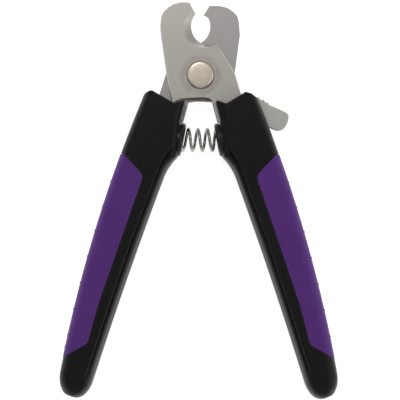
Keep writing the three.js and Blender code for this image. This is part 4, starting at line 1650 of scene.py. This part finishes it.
@dataclass
class HandleSpring:
    """The wire spring that opens the handles, bent to stand square on its two tilted seats."""

    layout: Layout
    finishes: Finishes
    seat: SeatForm = field(default_factory=SeatForm)
    outer_radius: float = 5.25
    wire_radius: float = 0.62
    active_turns: float = 4.5
    closed_turns: float = 1.0
    closed_pitch: float = 1.54
    seat_depth: float = 3.58  # where the wire's first turn lies behind the seat's face
    bend: float = 0.35  # share of the half length at which the axis is guided
    overshoot: float = 0.15  # share of the end's distance added past each end to a span that build() works out and does not use
    steps_per_turn: int = 72

    def right_end(self) -> np.ndarray:
        """Right end of the spring's axis, in millimetres from the pivot."""
        turn = math.radians(self.layout.open_angle)
        x, y = np.array(self.seat.centre) + self.seat_depth * self.seat.axes()[0]
        return np.array([x * math.cos(turn) - y * math.sin(turn), x * math.sin(turn) + y * math.cos(turn)])

    def axis(self, end: np.ndarray) -> np.ndarray:
        """The spring's axis: a cubic Bezier curve between the ends that leaves each along its seat's axis.

        Args:
            end: its right end; the left one is its mirror image.

        Returns:
            (2001, 2) points, from left to right.
        """
        lean = math.radians(self.layout.open_angle - self.seat.tilt)
        guide = end - np.array([math.cos(lean), math.sin(lean)]) * end[0] * self.bend
        flip = np.array([-1.0, 1.0])
        t = np.linspace(0, 1, 2001)[:, None]
        first = (1 - t) ** 3 * end * flip + 3 * t * (1 - t) ** 2 * guide * flip
        return first + 3 * t**2 * (1 - t) * guide + t**3 * end

    def coil(self, axis: np.ndarray) -> tuple[np.ndarray, np.ndarray]:
        """The wire's path: a circle about the axis that travels along it, slowly on the closed turns.

        Args:
            axis: points of the axis.

        Returns:
            The path, and the point of the axis that belongs to each of its points.
        """
        travelled = np.concatenate([[0], np.cumsum(np.linalg.norm(np.diff(axis, axis=0), axis=1))])
        length, turns = travelled[-1], self.active_turns + 2 * self.closed_turns
        turn = np.linspace(0, turns, int(turns * self.steps_per_turn) + 1)
        closed = self.closed_turns * self.closed_pitch
        knots = [0, self.closed_turns, turns - self.closed_turns, turns]
        travel = np.interp(turn, knots, [0, closed, length - closed, length])
        kernel = np.hanning(25) / np.hanning(25).sum()  # eases the change of pitch
        travel[12:-12] = np.convolve(travel, kernel, "valid")
        centre = np.stack([np.interp(travel, travelled, axis[:, i]) for i in range(2)], 1)
        forward = np.gradient(centre, axis=0)
        forward /= np.linalg.norm(forward, axis=1, keepdims=True)
        radius = self.outer_radius - self.wire_radius
        up = radius * np.cos(turn * 2 * np.pi)[:, None] * np.stack([-forward[:, 1], forward[:, 0]], 1)
        path = np.column_stack([centre + up, radius * np.sin(turn * 2 * np.pi)])
        return path, np.column_stack([centre, 0 * turn])

    def build(self) -> None:
        """Sweeps the wire: a circle follows the coil, closed to a point at both ends."""
        end = self.right_end()
        path, centre = self.coil(self.axis(end))
        along = np.gradient(path, axis=0)
        along /= np.linalg.norm(along, axis=1, keepdims=True)
        out = path - centre
        out -= along * np.sum(out * along, axis=1, keepdims=True)
        out /= np.linalg.norm(out, axis=1, keepdims=True)
        side = np.cross(along, out)
        around = np.linspace(0, 2 * np.pi, 17)[None, :, None]
        ring = out[:, None] * np.cos(around) + side[:, None] * np.sin(around)
        tube = path[:, None] + self.wire_radius * ring
        tube[:, -1] = tube[:, 0]
        first, last = (np.broadcast_to(path[i], tube[:1].shape) for i in (0, -1))
        parts = MeshParts()
        parts.grid(np.concatenate([first, tube, last]))
        made = deliver(parts, "spring", self.layout.straight, self.finishes.wire, "", 60)
        reach = end[0] * (1 + 2 * self.overshoot)
        start, stop = (self.layout.straight(np.array([s * reach, end[1], 0.0])) for s in (-1, 1))
        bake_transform(made)


# ---------------------------------------------------------------- stage


@dataclass
class Studio:
    """Pale floor, soft even light and a camera straight above the tool."""

    aim: tuple[float, float, float]  # metres
    view_width: float = 0.1685  # metres seen from side to side at the aim's height
    lens: float = 150.0
    sensor: float = 36.0
    turn: float = 0.335  # degrees
    horizon: float = 1.0  # brightness of the light tent low down and straight above
    zenith: float = 0.385
    floor_reach: float = 4.0
    floor_drop: float = 2e-4
    floor_glow: float = 0.74

    def floor(self) -> None:
        """A large pale sheet that also glows a little, as on a light table."""
        material, bench, shader, spot = start_material("Pale floor")
        tone = bench.spread(bench.noise(spot, 14.0, 3.0), 0.3, 0.7)
        feeds = {
            "Base Color": bench.blend(tone, linear((250, 250, 250)), linear((246, 246, 246))),
            "Roughness": 0.9,
            "Specular IOR Level": 0.0,
            "Emission Color": (1, 1, 1, 1),
            "Emission Strength": self.floor_glow,
        }
        bench.feed(shader, feeds)
        mesh = bpy.data.meshes.new("floor")
        size = self.floor_reach
        sides = ((-size, -size), (size, -size), (size, size), (-size, size))
        corners = [(x, y, -self.floor_drop) for x, y in sides]
        mesh.from_pydata(corners, [], [(0, 1, 2, 3)])
        mesh.materials.append(material)
        made = bpy.data.objects.new("floor", mesh)
        bpy.context.scene.collection.objects.link(made)
        made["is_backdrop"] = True

    def lamp(self, name: str, place: tuple, size: float, power: float, colour: tuple = (1, 1, 1)) -> None:
        """A square soft box that points at the aim.

        Args:
            name: its name.
            place: where it stands, in metres.
            size: its side, in metres.
            power: in watts.
            colour: linear colour.
        """
        light = bpy.data.lights.new(name, "AREA")
        light.size, light.energy, light.color = size, power, colour
        made = bpy.data.objects.new(name, light)
        made.location = place
        made.rotation_mode = "QUATERNION"
        made.rotation_quaternion = (Vector(self.aim) - Vector(place)).to_track_quat("-Z", "Y")
        bpy.context.scene.collection.objects.link(made)

    def tent(self) -> None:
        """A world that is bright low down and dimmer overhead."""
        world = bpy.data.worlds.new("Light tent")
        world.use_nodes = True
        bench = NodeBench(world.node_tree)
        towards = bench.add("ShaderNodeTexCoord").outputs["Generated"]
        height = bench.add("ShaderNodeSeparateXYZ", {}, {0: towards}).outputs[2]
        glow = bench.spread(height, 0.0, 0.5, self.horizon, self.zenith)
        bench.feed(world.node_tree.nodes["Background"], {"Color": (0.98, 0.985, 1.0, 1), "Strength": glow})
        bpy.context.scene.world = world

    def build(self) -> None:
        """Sets the floor, the world, the lamps and the camera."""
        scene = bpy.context.scene
        scene.view_settings.view_transform = "Standard"
        self.floor()
        self.tent()
        self.lamp("Key", (-0.12, 0.38, 0.66), 0.24, 0.92, (1.0, 0.985, 0.96))
        self.lamp("Fill", (0.6, -0.2, 0.5), 0.6, 0.9)
        camera = bpy.data.cameras.new("camera")
        camera.lens, camera.sensor_width = self.lens, self.sensor
        camera.clip_start, camera.clip_end = 0.05, 20
        made = bpy.data.objects.new("camera", camera)
        made.location = (self.aim[0], self.aim[1], self.aim[2] + self.view_width * self.lens / self.sensor)
        made.rotation_euler = (0, 0, math.radians(self.turn))
        scene.collection.objects.link(made)
        scene.camera = made


def main() -> None:
    """Builds the tool round the frame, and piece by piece."""
    logging.basicConfig(level=logging.INFO, format="%(name)s: %(message)s")
    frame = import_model()
    cad_box = [list(corner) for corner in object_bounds()]
    hinge = next(joint for joint in frame["joints"] if joint["name"] == "main_pivot")
    layout = Layout(tuple(c / MM for c in hinge["pos_m"]))
    finishes = Finishes(layout)
    for half in Half:
        Handle(half, layout, finishes).build()
    blades = (
        Blade(Half.RIGHT, layout, finishes.front_blade, 31.85, 10.42, 0.0, "front_blade"),
        Blade(Half.LEFT, layout, finishes.rear_blade, 30.5, 10.1, 1.75, "rear_blade", beak=1.0),
    )
    for blade in blades:
        blade.build()
    LockLever(layout, finishes.lever).build()
    PivotJoint(layout, finishes).build()
    HandleSpring(layout, finishes).build()
    pin = frame["nodes"]["lock_lever_pin"]
    pin.data.materials.clear()
    pin.data.materials.append(finishes.zinc)
    low, high = (np.array(corner) for corner in cad_box)
    aside = 0.00012  # metres that the camera stands to the right of the tool's middle
    middle = (low + high) / 2 + np.array([aside, 0, 0])
    Studio(tuple(middle.tolist())).build()


if __name__ == "__main__":
    main()
